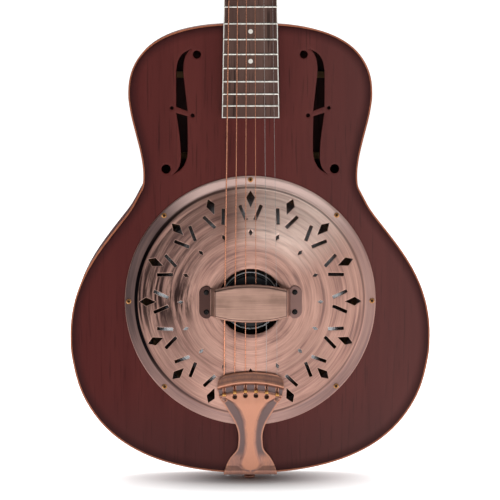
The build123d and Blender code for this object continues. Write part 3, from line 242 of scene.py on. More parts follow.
class Graph:
    """A few words for building a material."""

    def __init__(self, name):
        self.mat = bpy.data.materials.new(name)
        self.mat.use_nodes = True
        self.tree = self.mat.node_tree
        self.tree.nodes.clear()
        self.out = self.tree.nodes.new("ShaderNodeOutputMaterial")
        self.bsdf = self.tree.nodes.new("ShaderNodeBsdfPrincipled")
        self.tree.links.new(self.bsdf.outputs[0], self.out.inputs[0])
        self.coord = self.tree.nodes.new("ShaderNodeTexCoord").outputs["Object"]

    def put(self, socket, value):
        if hasattr(value, "is_output"):
            self.tree.links.new(value, socket)
        else:
            socket.default_value = value

    def base(self, **values):
        for key, value in values.items():
            self.put(self.bsdf.inputs[key.replace("_", " ")], value)

    def math(self, op, a, b=None, clamp=False):
        n = self.tree.nodes.new("ShaderNodeMath")
        n.operation = op
        n.use_clamp = clamp
        self.put(n.inputs[0], a)
        if b is not None:
            self.put(n.inputs[1], b)
        return n.outputs[0]

    def times(self, a, b):
        return self.math("MULTIPLY", a, b)

    def reach(self, a, b):
        """Length of the plane vector (a, b)."""
        return self.math("SQRT", self.math("ADD", self.times(a, a), self.times(b, b)))

    def vec(self, x, y, z):
        n = self.tree.nodes.new("ShaderNodeCombineXYZ")
        for socket, v in zip(n.inputs, (x, y, z)):
            self.put(socket, v)
        return n.outputs[0]

    def xyz(self, source=None):
        n = self.tree.nodes.new("ShaderNodeSeparateXYZ")
        self.tree.links.new(source or self.coord, n.inputs[0])
        return n.outputs[0], n.outputs[1], n.outputs[2]

    def noise(self, vector, scale=1.0, detail=3.0, rough=0.55, distortion=0.0):
        n = self.tree.nodes.new("ShaderNodeTexNoise")
        self.put(n.inputs["Vector"], vector)
        n.inputs["Scale"].default_value = scale
        n.inputs["Detail"].default_value = detail
        n.inputs["Roughness"].default_value = rough
        n.inputs["Distortion"].default_value = distortion
        return n.outputs[0]

    def scaled(self, sx, sy, sz, source=None, offset=(0, 0, 0)):
        n = self.tree.nodes.new("ShaderNodeMapping")
        self.tree.links.new(source or self.coord, n.inputs[0])
        n.inputs["Scale"].default_value = (sx, sy, sz)
        n.inputs["Location"].default_value = offset
        return n.outputs[0]

    def ramp(self, value, low, high, a=0.0, b=1.0):
        n = self.tree.nodes.new("ShaderNodeMapRange")
        n.interpolation_type = "SMOOTHSTEP"
        for socket, v in zip(n.inputs, (value, low, high, a, b)):
            self.put(socket, v)
        return n.outputs[0]

    def mix(self, factor, a, b, kind="MIX"):
        n = self.tree.nodes.new("ShaderNodeMix")
        n.data_type = "RGBA"
        n.blend_type = kind
        self.put(n.inputs[0], factor)
        self.put(n.inputs[6], a)
        self.put(n.inputs[7], b)
        return n.outputs[2]

    def attribute(self, name):
        n = self.tree.nodes.new("ShaderNodeAttribute")
        n.attribute_name = name
        return n.outputs["Fac"]

    def bump(self, height, strength, distance):
        n = self.tree.nodes.new("ShaderNodeBump")
        n.inputs["Strength"].default_value = strength
        n.inputs["Distance"].default_value = distance
        self.tree.links.new(height, n.inputs["Height"])
        self.tree.links.new(n.outputs[0], self.bsdf.inputs["Normal"])

    def radial_tangent(self, axis):
        n = self.tree.nodes.new("ShaderNodeTangent")
        n.direction_type = "RADIAL"
        n.axis = axis
        self.tree.links.new(n.outputs[0], self.bsdf.inputs["Tangent"])


def wood(name, dark, light, deep, pore=0.5, coat=0.6, gloss=0.16, along="z", edge=None, edge_dark=None,
         after=None):
    """Open-grained wood with long pores along one direction."""
    g = Graph(name)
    stretch = {"z": (420, 420, 16), "x": (16, 420, 420), "y": (420, 16, 420)}[along]
    wide = {"z": (28, 28, 3.4), "x": (3.4, 28, 28), "y": (28, 3.4, 28)}[along]
    mid = {"z": (130, 130, 7), "x": (7, 130, 130), "y": (130, 7, 130)}[along]
    pores = g.noise(g.scaled(*stretch), detail=2.0, rough=0.6)
    figure = g.noise(g.scaled(*wide), detail=3.0, rough=0.5, distortion=0.4)
    bands = g.noise(g.scaled(*mid), detail=4.0, rough=0.6, distortion=0.2)
    colour = g.mix(g.ramp(figure, 0.32, 0.68), dark, light)
    colour = g.mix(g.ramp(bands, 0.45, 0.75, 0.0, 0.4), colour, deep)
    fleck = g.ramp(pores, 0.56, 0.70)
    colour = g.mix(g.times(fleck, pore), colour, tuple(c * 0.32 for c in deep[:3]) + (1,))
    if after:
        colour = after(g, colour, g.xyz())
    if edge:
        shade = g.ramp(g.attribute("edge"), edge[0], edge[1], 1.0, 0.0)
        colour = g.mix(g.times(shade, edge[2]), colour, edge_dark)
    g.base(Base_Color=colour, Roughness=g.ramp(bands, 0.2, 0.8, 0.5, 0.62), Coat_Weight=coat,
           Coat_Roughness=gloss, Specular_IOR_Level=0.12)
    g.bump(g.math("SUBTRACT", g.times(bands, 0.25), fleck), 0.22, 0.0002)
    return g.mat


def copper(name, bright, mid, dark, brush, patina=0.5, rough=(0.28, 0.42), aniso=0.6, wear=None,
           edge_line=None, extra=None, after=None):
    """Brushed antique copper: bright where it is rubbed, purple-brown in the hollows."""
    g = Graph(name)
    xyz = g.xyz()
    x, _, z = xyz
    if brush == "polar":
        dz = g.math("SUBTRACT", z, SADDLE_S / 1000)
        r = g.reach(x, dz)
        safe = g.math("MAXIMUM", r, 0.001)
        cx, cz = g.math("DIVIDE", x, safe), g.math("DIVIDE", dz, safe)
        fine = g.noise(g.vec(g.times(r, 1300), g.times(cx, 1.6), g.times(cz, 1.6)),
                       detail=4.0, rough=0.75)
        broad = g.noise(g.vec(g.times(r, 360), g.times(cx, 1.1), g.times(cz, 1.1)),
                        detail=5.0, rough=0.65)
        cloud = g.noise(g.vec(g.times(r, 100), g.times(cx, 0.9), g.times(cz, 0.9)),
                        detail=3.0)
    else:
        sets = {"x": ((14, 1500, 1500), (6, 120, 120)), "z": ((1500, 1500, 14), (130, 130, 6))}[brush]
        fine = g.noise(g.scaled(*sets[0]), detail=3.0, rough=0.7)
        broad = g.noise(g.scaled(*sets[1]), detail=4.0, rough=0.6)
        cloud = g.noise(g.scaled(40, 40, 40), detail=3.0)
    tone = g.math("ADD", g.times(broad, 0.55), g.times(cloud, 0.45))
    colour = g.mix(g.ramp(tone, 0.40, 0.64), mid, bright)
    colour = g.mix(g.times(g.ramp(tone, 0.50, 0.33), patina), colour, dark)
    colour = g.mix(g.ramp(fine, 0.38, 0.72, 0.0, 0.35), colour, dark)
    if extra:
        colour = extra(g, colour, xyz)
    if wear:
        w = g.attribute(wear)
        colour = g.mix(g.ramp(w, 0.55, 0.10), colour, dark)
        colour = g.mix(g.ramp(w, 0.60, 0.95, 0.0, 0.85), colour, bright)
    if after:
        colour = after(g, colour, xyz)
    if edge_line:
        line = g.ramp(g.attribute("edge"), edge_line[0], edge_line[1], 1.0, 0.0)
        colour = g.mix(g.times(line, edge_line[2]), colour, bright)
    g.base(Base_Color=colour, Metallic=1.0, Roughness=g.ramp(g.math("ADD", g.times(fine, 0.6),
           g.times(broad, 0.4)), 0.35, 0.7, rough[0], rough[1]), Anisotropic=aniso)
    if brush == "polar":
        g.radial_tangent("Y")
    elif brush == "x":
        g.bsdf.inputs["Anisotropic Rotation"].default_value = 0.0
        g.radial_tangent("Z")
    else:
        g.radial_tangent("Z")
        g.bsdf.inputs["Anisotropic Rotation"].default_value = 0.25
    g.bump(fine, 0.12, 0.00005)
    return g.mat


def metal(name, colour, dark, rough=0.3, scale=300, aniso=0.0):
    g = Graph(name)
    n = g.noise(g.scaled(scale, scale, scale), detail=3.0)
    g.base(Base_Color=g.mix(g.ramp(n, 0.4, 0.75), colour, dark), Metallic=1.0,
           Roughness=g.ramp(n, 0.3, 0.8, rough * 0.8, rough * 1.3), Anisotropic=aniso)
    g.bump(n, 0.06, 0.00003)
    return g.mat


def plastic(name, colour, dark, rough=0.25, scale=200, coat=0.3):
    g = Graph(name)
    n = g.noise(g.scaled(scale, scale, scale), detail=3.0)
    g.base(Base_Color=g.mix(g.ramp(n, 0.45, 0.8, 0.0, 0.6), colour, dark),
           Roughness=g.ramp(n, 0.3, 0.8, rough, rough * 1.4), Coat_Weight=coat, Coat_Roughness=0.12)
    g.bump(n, 0.05, 0.00003)
    return g.mat


COPPER_BRIGHT = lin(236, 178, 156)
COPPER_DARK = lin(120, 90, 88)


def painted_side_light(g, colour, xyz):
    """Painted light and shade: the stain is painted deeper red and darker toward the bass side, away from the
    light, and greyer toward the treble side as painted glare from the light on the right; it is also darker
    and greyer toward the tail end.
    """
    x, _, z = xyz
    # Painted shade: deeper red and darker toward the bass side.
    colour = g.mix(g.ramp(x, -0.06, -0.17, 0.0, 0.5), colour, lin(72, 12, 12))
    colour = g.mix(g.ramp(z, 0.10, 0.02, 0.0, 0.35), colour, lin(60, 38, 38))
    # Painted glare: greyer toward the treble side, where the light on the right falls.
    return g.mix(g.ramp(x, -0.02, 0.17, 0.0, 0.30), colour, lin(96, 72, 70))


top_wood = wood("top_wood", lin(86, 33, 30), lin(93, 38, 34), lin(72, 26, 24), coat=0.06, gloss=0.38,
                edge=(0.5, 13.0, 0.88), edge_dark=lin(42, 4, 6), after=painted_side_light)
side_wood = wood("side_wood", lin(78, 30, 28), lin(96, 41, 38), lin(56, 19, 17), coat=0.2, gloss=0.35)
neck_wood = wood("neck_wood", lin(78, 31, 28), lin(98, 43, 38), lin(56, 21, 18), coat=0.15, gloss=0.35)
inner_wood = wood("inner_wood", lin(150, 116, 80), lin(176, 140, 100), lin(120, 88, 58), coat=0.0, along="x")
edge_wood = wood("edge_wood", lin(158, 92, 66), lin(178, 110, 80), lin(120, 62, 42), pore=0.2,
                 coat=0.2, gloss=0.3)
rosewood = wood("rosewood", lin(80, 56, 50), lin(102, 76, 68), lin(60, 40, 36), pore=0.7,
                coat=0.05, gloss=0.4)
veneer = wood("veneer_wood", lin(60, 26, 24), lin(84, 38, 34), lin(36, 12, 12), coat=0.7, gloss=0.12)
black_wood = wood("black_wood", lin(26, 27, 30), lin(34, 35, 38), lin(16, 16, 18), coat=0.25, gloss=0.25)
saddle_wood = wood("saddle_wood", lin(200, 168, 120), lin(220, 190, 146), lin(170, 136, 92), coat=0.1,
                   along="x")

spun = Graph("spun_aluminium")
sx, _, sz = spun.xyz()
sdz = spun.math("SUBTRACT", sz, SADDLE_S / 1000)
srad = spun.reach(sx, sdz)
rings = spun.noise(spun.vec(spun.times(srad, 420), 0.0, 0.0), detail=4.0)
spun_rings_and_painted_well = spun.mix(rings, lin(225, 226, 228), lin(170, 172, 176))
# Painted shadow: inside about 35 to 42 mm from the middle the cone is darkened, as the shade under the
# cover's centre hole.
spun_rings_and_painted_well = spun.mix(spun.ramp(srad, 0.035, 0.042, 0.8, 0.0), spun_rings_and_painted_well, lin(40, 40, 42))
# Painted highlight: the raised ring at 29.6 mm is painted near white and made less metallic, so it shows as a
# bright ring.
painted_bead_highlight = spun.ramp(spun.math("ABSOLUTE", spun.math("SUBTRACT", srad, 0.0296)), 0.0004, 0.0009, 1.0, 0.0)
spun.base(Base_Color=spun.mix(painted_bead_highlight, spun_rings_and_painted_well, lin(250, 250, 252)), Metallic=spun.ramp(painted_bead_highlight, 0.0, 1.0, 1.0, 0.2),
          Roughness=0.26, Anisotropic=0.5)
spun.radial_tangent("Y")
spun.bump(rings, 0.35, 0.0004)


def cover_marks_and_painted_light(g, colour, xyz):
    """Darker, lighter and greyer areas of the cover, at fixed angles and radii to match the photograph:
    darker mottled patches and a near-black mark on the bass side, greyer patches below, a darker streak near
    the top, a painted highlight wedge above the middle, painted highlight and shade on the flange, a painted
    shade line along the step and a painted black shadow on the step's bass side.
    """
    x, _, z = xyz
    dz = g.math("SUBTRACT", z, SADDLE_S / 1000)
    r = g.reach(x, dz)
    turn = g.math("ARCTAN2", dz, g.times(x, -1.0))

    def sector(middle, inner, outer):
        return g.ramp(g.math("ABSOLUTE", g.math("SUBTRACT", turn, middle)), inner, outer, 1.0, 0.0)

    bass = sector(0.3, 0.25, 1.25)
    mottle = g.noise(g.vec(g.times(r, 240), g.times(turn, 1.6), 0.0), detail=6.0, rough=0.65)
    # Darker mottled patches on the bass side, 48 to 80 mm from the middle.
    patch = g.times(g.times(bass, g.ramp(r, 0.048, 0.080)), g.ramp(mottle, 0.36, 0.60, 0.25, 1.0))
    colour = g.mix(g.times(patch, 0.85), colour, lin(66, 48, 48))
    # A near-black mottled mark on the bass side, 52 to 70 mm from the middle.
    dark_bass_mark = g.times(g.times(sector(0.04, 0.08, 0.48), g.ramp(r, 0.052, 0.070)),
                  g.ramp(mottle, 0.42, 0.58))
    colour = g.mix(g.times(dark_bass_mark, 0.75), colour, lin(26, 18, 18))
    for middle in (-2.2, -0.8):
        dull = g.times(sector(middle, 0.1, 0.6), g.ramp(r, 0.050, 0.085))
        colour = g.mix(g.times(dull, g.ramp(mottle, 0.34, 0.62, 0.2, 0.55)), colour, lin(98, 72, 68))
    # Painted highlight: a bright wedge just above the middle, where the brushed metal catches the light from
    # above.
    painted_fan_highlight = g.times(sector(1.98, 0.16, 0.80), g.ramp(r, 0.050, 0.072))
    colour = g.mix(g.times(painted_fan_highlight, g.ramp(mottle, 0.30, 0.62, 0.35, 0.9)), colour, lin(255, 226, 212))
    streak = g.times(sector(1.30, 0.02, 0.26), g.ramp(r, 0.060, 0.085))
    colour = g.mix(g.times(streak, 0.45), colour, lin(120, 78, 66))
    flange = g.ramp(r, 0.1195, 0.1215)
    colour = g.mix(g.times(flange, 0.5), colour, lin(150, 124, 122))
    # Painted shade on the flange's bass side.
    colour = g.mix(g.times(flange, g.times(bass, 0.7)), colour, lin(70, 58, 57))
    # Painted highlight on the flange at the top.
    colour = g.mix(g.times(flange, g.times(sector(1.57, 0.3, 0.9), 0.7)), colour,
                   lin(236, 205, 196))
    # Painted shade: a dark line all round the step between flange and dome.
    line = g.times(g.ramp(r, 0.1172, 0.1182), g.ramp(r, 0.1192, 0.1202, 1.0, 0.0))
    colour = g.mix(g.times(line, 0.5), colour, lin(60, 50, 54))
    # Painted shadow: a near-black crescent on the step's bass side.
    painted_step_shadow = g.times(g.ramp(r, 0.1166, 0.1180), g.ramp(r, 0.1206, 0.1216, 1.0, 0.0))
    return g.mix(g.times(painted_step_shadow, sector(0.0, 0.4, 1.3)), colour, lin(14, 10, 12))


cover_copper = copper("cover_copper", lin(212, 168, 152), lin(186, 142, 128), lin(112, 88, 86), "polar",
                      patina=0.7, rough=(0.40, 0.50), aniso=0.8, edge_line=(0.2, 0.6, 0.7),
                      extra=cover_marks_and_painted_light)


def palm_shade(g, colour, xyz):
    """Painted highlight: the treble end of the palm rest is painted lighter, as where the light on the right
    falls on it.
    """
    x, _, _ = xyz
    return g.mix(g.ramp(x, 0.034, 0.042, 0.0, 0.4), colour, lin(176, 140, 132))


palm_copper = copper("palm_copper", lin(190, 152, 136), lin(168, 134, 119), lin(78, 56, 52), "x", patina=0.3,
                     rough=(0.36, 0.46), aniso=0.6, wear="wear", after=palm_shade)
tail_copper = copper("tail_copper", lin(192, 136, 112), lin(172, 124, 108), lin(104, 87, 86), "z", patina=0.2,
                     aniso=0.4, wear="wear", edge_line=(0.3, 1.0, 0.7))
tuner_copper = copper("tuner_copper", COPPER_BRIGHT, lin(190, 132, 112), COPPER_DARK, "z", patina=0.6,
                      aniso=0.2)
brass = metal("aged_brass", lin(150, 108, 74), lin(84, 54, 36), 0.34)


def screw_metal():
    """Aged brass, with painted shade in the recess in the middle of each cover screw."""
    g = Graph("cover_screw_brass")
    x, _, z = g.xyz()
    dz = g.math("SUBTRACT", z, SADDLE_S / 1000)
    r = g.reach(x, dz)
    eighth = g.math("DIVIDE", g.math("ARCTAN2", dz, x), math.pi / 4)
    turn = g.times(g.math("SUBTRACT", eighth, g.math("ROUND", eighth)), math.pi / 4)
    across = g.times(r, g.math("SINE", turn))
    along = g.math("SUBTRACT", g.times(r, g.math("COSINE", turn)), SCREW_RING)
    reach = g.reach(across, along)
    grime = g.noise(g.scaled(900, 900, 900), detail=3.0)
    colour = g.mix(g.ramp(grime, 0.4, 0.75), lin(206, 150, 96), lin(120, 80, 52))
    # Painted shade: the middle of each cover screw head is darkened as the shade in its recess.
    colour = g.mix(g.ramp(reach, 0.0012, 0.0018, 0.95, 0.0), colour, lin(24, 18, 16))
    g.base(Base_Color=colour, Metallic=1.0, Roughness=g.ramp(grime, 0.3, 0.8, 0.28, 0.45))
    g.bump(grime, 0.1, 0.00004)
    return g.mat


cover_screw_brass = screw_metal()
gold = metal("brass_ball", lin(214, 160, 96), lin(150, 104, 56), 0.25)
steel = metal("bright_steel", lin(205, 205, 205), lin(150, 150, 150), 0.25)
black_metal = metal("black_metal", lin(40, 38, 38), lin(20, 18, 18), 0.35)
silver_wire = metal("plain_string_steel", lin(178, 172, 170), lin(130, 126, 124), 0.3, scale=900)
wound_wire = metal("wound_string_copper", lin(214, 150, 120), lin(150, 96, 74), 0.28, scale=900)
fret_metal = metal("fret_nickel", lin(226, 222, 214), lin(180, 176, 168), 0.18)
ivory = plastic("ivory_plastic", lin(238, 234, 226), lin(222, 214, 200))
black_plastic = plastic("black_plastic", lin(22, 22, 23), lin(34, 34, 36))

carried = {
    "back_plate": side_wood, "sides": side_wood, "neck": neck_wood, "heel_cap": neck_wood,
    "fretboard_riser": rosewood, "fretboard": rosewood, "fretboard_binding": ivory, "position_dots": ivory,
    "nut": ivory, "frets": fret_metal, "body_binding": edge_wood, "neck_block": inner_wood,
    "tail_block": inner_wood, "linings": inner_wood, "front_braces": inner_wood, "back_braces": inner_wood,
    "soundwell": inner_wood, "cone": spun.mat, "biscuit": black_wood, "saddle": saddle_wood,
    "biscuit_screw": steel, "cover_plate_screws": cover_screw_brass, "headstock_screws": brass,
    "palm_rest_screws": black_metal, "tailpiece_screws": steel, "strap_button_screws": steel,
    "strap_buttons": tuner_copper, "truss_rod": steel, "truss_rod_nut": steel,
    "truss_rod_cover": black_plastic, "headstock_veneer": veneer, "neck_bolts": steel,
    "plain_strings": silver_wire, "wound_strings": wound_wire, "ball_ends": gold,
    "tuner_plates": tuner_copper, "tuner_ferrules": tuner_copper, "soundboard": top_wood,
    "cover_plate": cover_copper,
    "palm_rest": palm_copper, "tailpiece": tail_copper,
}
for number in range(1, 7):
    carried[f"tuner_key_{number}"] = tuner_copper
    carried[f"tuner_post_{number}"] = tuner_copper
    carried[f"tuner_gear_{number}"] = gold
for node, material in carried.items():
    obj = nodes[node]
    obj.data.materials.clear()
    obj.data.materials.append(material)


def stand_for(piece, node, material):
    """A detailed piece takes the place of a CAD node on the guitar's body."""
    piece.data.materials.append(material)
    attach(piece, "guitar")
    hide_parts(node)


# ---------------------------------------------------------------- soundboard


def outline(inset):
    """Body outline from four spans a side, moved inward."""
    spans = [
        ((0, 0), (158.5, 0), (188.0, 85.5), (188.0, 146.2)),
        ((188.0, 146.2), (188.0, 234.4), (111.3, 268.3), (111.3, 313.5)),
        ((111.3, 313.5), (111.3, 340.9), (126.6, 371.8), (126.6, 398.8)),
        ((126.6, 398.8), (126.6, 477.2), (20.0, 470.3), (0, 470.3)),
    ]
    right = []
    for a, b, c, d in (map(np.array, span) for span in spans):
        t = np.linspace(0, 1, 60, endpoint=False)[:, None]
        u = 1 - t
        p = u ** 3 * a + 3 * u * u * t * b + 3 * u * t * t * c + t ** 3 * d
        v = 3 * u * u * (b - a) + 6 * u * t * (c - b) + 3 * t * t * (d - c)
        n = np.column_stack([-v[:, 1], v[:, 0]]) / np.linalg.norm(v, axis=1)[:, None]
        right.append(p + inset * n)
    right = np.vstack(right + [np.array([[0, BODY_LENGTH - inset]])])
    left = right[1:-1][::-1] * np.array([-1, 1])
    return np.vstack([right, left])


def circle(cx, cy, r, n):
    """A loop of n points round (cx, cy)."""
    a = np.linspace(0, 2 * math.pi, n, endpoint=False)
    return np.column_stack([cx + r * np.cos(a), cy + r * np.sin(a)])


def f_holes():
    """Loops of both f-holes: two slots and four round holes a side."""
    base = np.array([71.0, BODY_LENGTH - 90.3])
    upper = np.vstack([
        curve_through([(-10, 64.5), (-1.3, 59.8), (3.8, 52.1), (5.9, 41.7)], 6)[:-1],
        np.array([(5.9, 41.7), (5.9, 4.7)]),
        curve_through([(-5.9, 0.2), (-3.1, 25.3), (-1.5, 42.2), (-2.8, 54.2), (-6.5, 61.6),
                       (-10, 64.5)], 6)[:-1],
    ])
    lower = np.vstack([
        np.array([(5.8, -1.7)]),
        curve_through([(-5.6, -5.1), (-6, -27.3), (-5.8, -43.3), (-4.2, -51.3), (-1, -57.7), (3, -61.7),
                       (9.4, -65.4)], 6)[:-1],
        curve_through([(9.4, -65.4), (6.2, -62.5), (3, -57.7), (1.4, -51.3), (1.2, -43.3), (2.3, -27.3),
                       (5.8, -1.7)], 6)[:-1],
    ])
    loops = [dense(upper, 2.0), dense(lower, 2.0)]
    for x, s, r in ((-15.7, 58.7, 4.2), (16.6, -59.9, 4.8), (10.4, 3.4, 1.9), (-11.1, -4.4, 2.1)):
        loops.append(circle(x, s, r, 28))
    out = []
    for loop in loops:
        out.append(loop + base)
        out.append((loop + base) * np.array([-1, 1]))
    return out


rim = dense(outline(1.6), 3.0)


def board_place(co):
    return np.column_stack([co, np.zeros(len(co))])


def board_values(co, away):
    return {"edge": nearest(co, dense(outline(0), 1.0))}


board = sheet("soundboard_top", rim, [circle(0, SADDLE_S, 121.5, 120)] + f_holes(),
              hex_grid(-190, 190, 0, 475, 4.5), board_place, 3.0, roll=0.5, attributes=board_values)
stand_for(board, "soundboard", top_wood)


# ---------------------------------------------------------------- cover plate


SLOT_TURN = 4.8
SLOT_LEAN = 24.0


def turned_loop(points, angle):
    """A loop drawn about the cover's middle, turned clockwise by an angle and moved to the saddle."""
    a = math.radians(angle)
    p = np.asarray(points, float)
    return np.column_stack([p[:, 0] * math.cos(a) + p[:, 1] * math.sin(a),
                            -p[:, 0] * math.sin(a) + p[:, 1] * math.cos(a) + SADDLE_S])


def cover_holes():
    loops = [circle(0, SADDLE_S, COVER_HOLE, 120)]
    kite = dense(np.array([(0, 98.4), (4.6, 108.8), (0, 115.8), (-4.6, 108.8)]), 1.6)
    diamond = dense(np.array([(0, 69.4), (1.95, 72.8), (0, 76.2), (-1.95, 72.8)]), 1.2)
    slot = dense(np.array([(-1.5, -8.35), (1.5, -8.35), (1.75, -8.0), (1.75, 8.0), (1.5, 8.35), (-1.5, 8.35),
                           (-1.75, 8.0), (-1.75, -8.0)]), 1.6)
    lean = math.radians(SLOT_LEAN - SLOT_TURN)
    for index in range(16):
        turn = 22.5 * index
        loops.append(turned_loop(kite, turn))
        loops.append(turned_loop(diamond, turn))
        for sign in (-1, 1):
            c, s = math.cos(lean), sign * math.sin(lean)
            bar = np.column_stack([slot[:, 0] * c + slot[:, 1] * s, -slot[:, 0] * s + slot[:, 1] * c + 93.5])
            loops.append(turned_loop(bar, turn + sign * SLOT_TURN))
    return loops


def cover_level(r):
    """Outer surface of the cover plate: flange, step, dome and the turned edge of the hole."""
    r = np.asarray(r, float)
    share = np.clip((r - 57.0) / (117.5 - 57.0), 0, 1)
    dome = 10.0 - 6.6 * share ** 2
    step = smooth(121.3, 117.2, r)
    level = 1.2 + (dome - 1.2) * step
    level -= 0.35 * np.exp(-((r - 112.8) / 1.6) ** 2)
    level -= 0.5 * smooth(36.0, COVER_HOLE, r) ** 2
    level -= 0.5 * smooth(129.6, COVER_RADIUS, r) ** 2
    return level


def cover_place(co):
    r = np.hypot(co[:, 0], co[:, 1] - SADDLE_S)
    return np.column_stack([co, cover_level(r)])


polar = []
for r in list(np.arange(35.2, 110, 2.6)) + list(np.arange(110.2, 131, 0.62)):
    count = int(2 * math.pi * r / 2.8)
    polar.append(circle(0, SADDLE_S, r, count))
cover = sheet("cover_plate_stamped", circle(0, SADDLE_S, COVER_RADIUS, 300), cover_holes(), np.vstack(polar),
              cover_place, 1.1, roll=0.16)
stand_for(cover, "cover_plate", cover_copper)


# ---------------------------------------------------------------- palm rest


def palm_half(x):
    """Half height of the raised part across its length."""
    radius = (41.5 ** 2 + 6.2 ** 2) / (2 * 6.2)
    return 20.15 - (radius - np.sqrt(np.maximum(radius ** 2 - np.asarray(x, float) ** 2, 0)))


def palm_loop():
    right = [(x, palm_half(x)) for x in np.linspace(0, 40.2, 22)]
    right += [(41.6, 14.3), (42.4, 15.9), (43.6, 16.8), (45.4, 17.2)]
    corner = circle(45.5, 9.2, 8.0, 64)
    right += [tuple(p) for p in corner if p[0] > 45.4 and p[1] > 9.2][::-1]
    right = np.array(sorted(right, key=lambda p: 1000 * (p[1] <= 9.2) + p[0]))
    right = np.vstack([right, [[53.5, 4.0]], [[53.5, 0.0]]])
    lower = right[:-1][::-1] * np.array([1, -1])
    half = np.vstack([right, lower])
    left = half[1:-1][::-1] * np.array([-1, 1])
    return np.vstack([half, left])


def palm_level(x, z):
    x = np.abs(x)
    side = palm_half(x) - np.abs(z)
    wall = smooth(41.7, 37.4, x)
    level = 11.2 + 15.4 * wall
    roll = np.clip(1 - side / 2.6, 0, 1)
    level -= wall * 2.6 * (1 - np.sqrt(np.maximum(1 - roll ** 2, 0)))
    level += 0.4 * wall * smooth(2.2, 3.4, side) * smooth(37.9, 36.4, x)
    return level


def palm_place(co):
    z = co[:, 1] - SADDLE_S
    return np.column_stack([co, palm_level(co[:, 0], z)])


def palm_values(co, away):
    x, z = np.abs(co[:, 0]), co[:, 1] - SADDLE_S
    side = palm_half(x) - np.abs(z)
    groove = np.exp(-((side - 2.4) / 0.5) ** 2) * smooth(38.4, 37.0, x)
    groove += np.exp(-((x - 37.2) / 0.6) ** 2)
    wear = np.where(x > 41.4, 0.12, 0.5)
    wear = wear + 0.35 * smooth(40.6, 39.6, x) * smooth(37.4, 38.4, x)
    ridge = np.exp(-((side - 1.0) / 0.7) ** 2)
    wear = wear - 0.4 * np.clip(groove, 0, 1) + 0.3 * ridge * smooth(38.6, 37.2, x)
    return {"wear": np.clip(wear, 0, 1)}


palm_outer = palm_loop() + np.array([0, SADDLE_S])
grid = np.array([(x, SADDLE_S + z) for x in np.arange(-53, 53.1, 0.9) for z in np.arange(-20, 20.1, 0.8)])
edge_rows = []
for d in (0.5, 0.9, 1.3, 1.8, 2.3, 2.7, 3.2):
    for x in np.arange(-38, 38.1, 1.0):
        edge_rows += [(x, SADDLE_S + palm_half(x) - d), (x, SADDLE_S - palm_half(x) + d)]
palm_holes = [circle(x, SADDLE_S + z, 1.25, 20) for x in (-46.0, 46.0) for z in (-10.3, 10.3)]
palm = sheet("palm_rest_stamped", dense(palm_outer, 1.5), palm_holes, np.vstack([grid, np.array(edge_rows)]),
             palm_place, 1.1, roll=0.3, attributes=palm_values, sharp=50)
stand_for(palm, "palm_rest", palm_copper)


# ---------------------------------------------------------------- tailpiece

TAIL_FRONT = SADDLE_S - 72.8
TAIL_RADIUS = 123.2
BALL_SPAN = 55.4
BEND = 1.7
LEG_SHIFT = 0.6


def tail_back(x, s):
    """Distance behind the tailpiece's arched front edge."""
    return TAIL_RADIUS - np.hypot(x, s - (TAIL_FRONT - TAIL_RADIUS))


def spine_half(s):
    """Half width of the raised spine at a station."""
    stations = [3.2, 4.2, 6.2, 9.4, 12.6, 15.2, 18.0, 21.0, 26, 33, 44, 57, 67.5, 76, 80.5, 84, 90]
    widths = [0.1, 5.0, 8.6, 10.4, 10.0, 9.2, 7.9, 6.8, 5.6, 4.6, 4.9, 6.7, 10.7, 17.0, 24.5, 31.0, 36.0]
    return np.interp(s, stations, widths)


def tail_relief(x, s):
    """Raised spine: 1 on top, 0 in the grooves beside it."""
    return smooth(-3.4, 2.2, spine_half(s) - np.abs(x))


def tail_side(back, s):
    """Level of the plate along its length."""
    by_front = np.interp(back, [0, 0.6, 1.6, 6, 9.6, 10.6, 11.6, 12.8, 14.2, 15.2, 19.2, 20.4, 21.6, 60],
                         [12.7, 13.4, 13.8, 14.9, 15.8, 16.0, 15.7, 14.0, 12.6, 12.3, 12.3, 12.9, 13.2, 13.2])
    by_tail = np.interp(s, [-1, 0, 1.2, 6, 73, 76], [1.0, 2.1, 2.6, 3.1, 13.0, 13.2])
    return np.where(back < 30, by_front, np.minimum(by_tail, 13.2))


def tail_top(x, s):
    back = tail_back(x, s)
    level = tail_side(back, s)
    groove = (1 - tail_relief(x, s)) * smooth(21.0, 24.0, back)
    return level - 2.4 * groove * smooth(2.0, 9.0, s)


def tail_place(co):
    """Plan coordinates to space; beyond the tail the sheet turns down over the end."""
    x, s = co[:, 0], co[:, 1]
    out = np.column_stack([x, s, tail_top(x, s)])
    h0 = float(tail_side(np.array([99.0]), np.array([0.0]))[0])
    over = s < 0
    arc = math.pi / 2 * BEND
    a = np.clip(-s / BEND, 0, math.pi / 2)
    turn_s = -BEND * np.sin(a)
    turn_h = h0 - BEND * (1 - np.cos(a))
    down = np.maximum(-s - arc, 0)
    out[over, 1] = turn_s[over]
    out[over, 2] = (turn_h - down)[over]
    return out


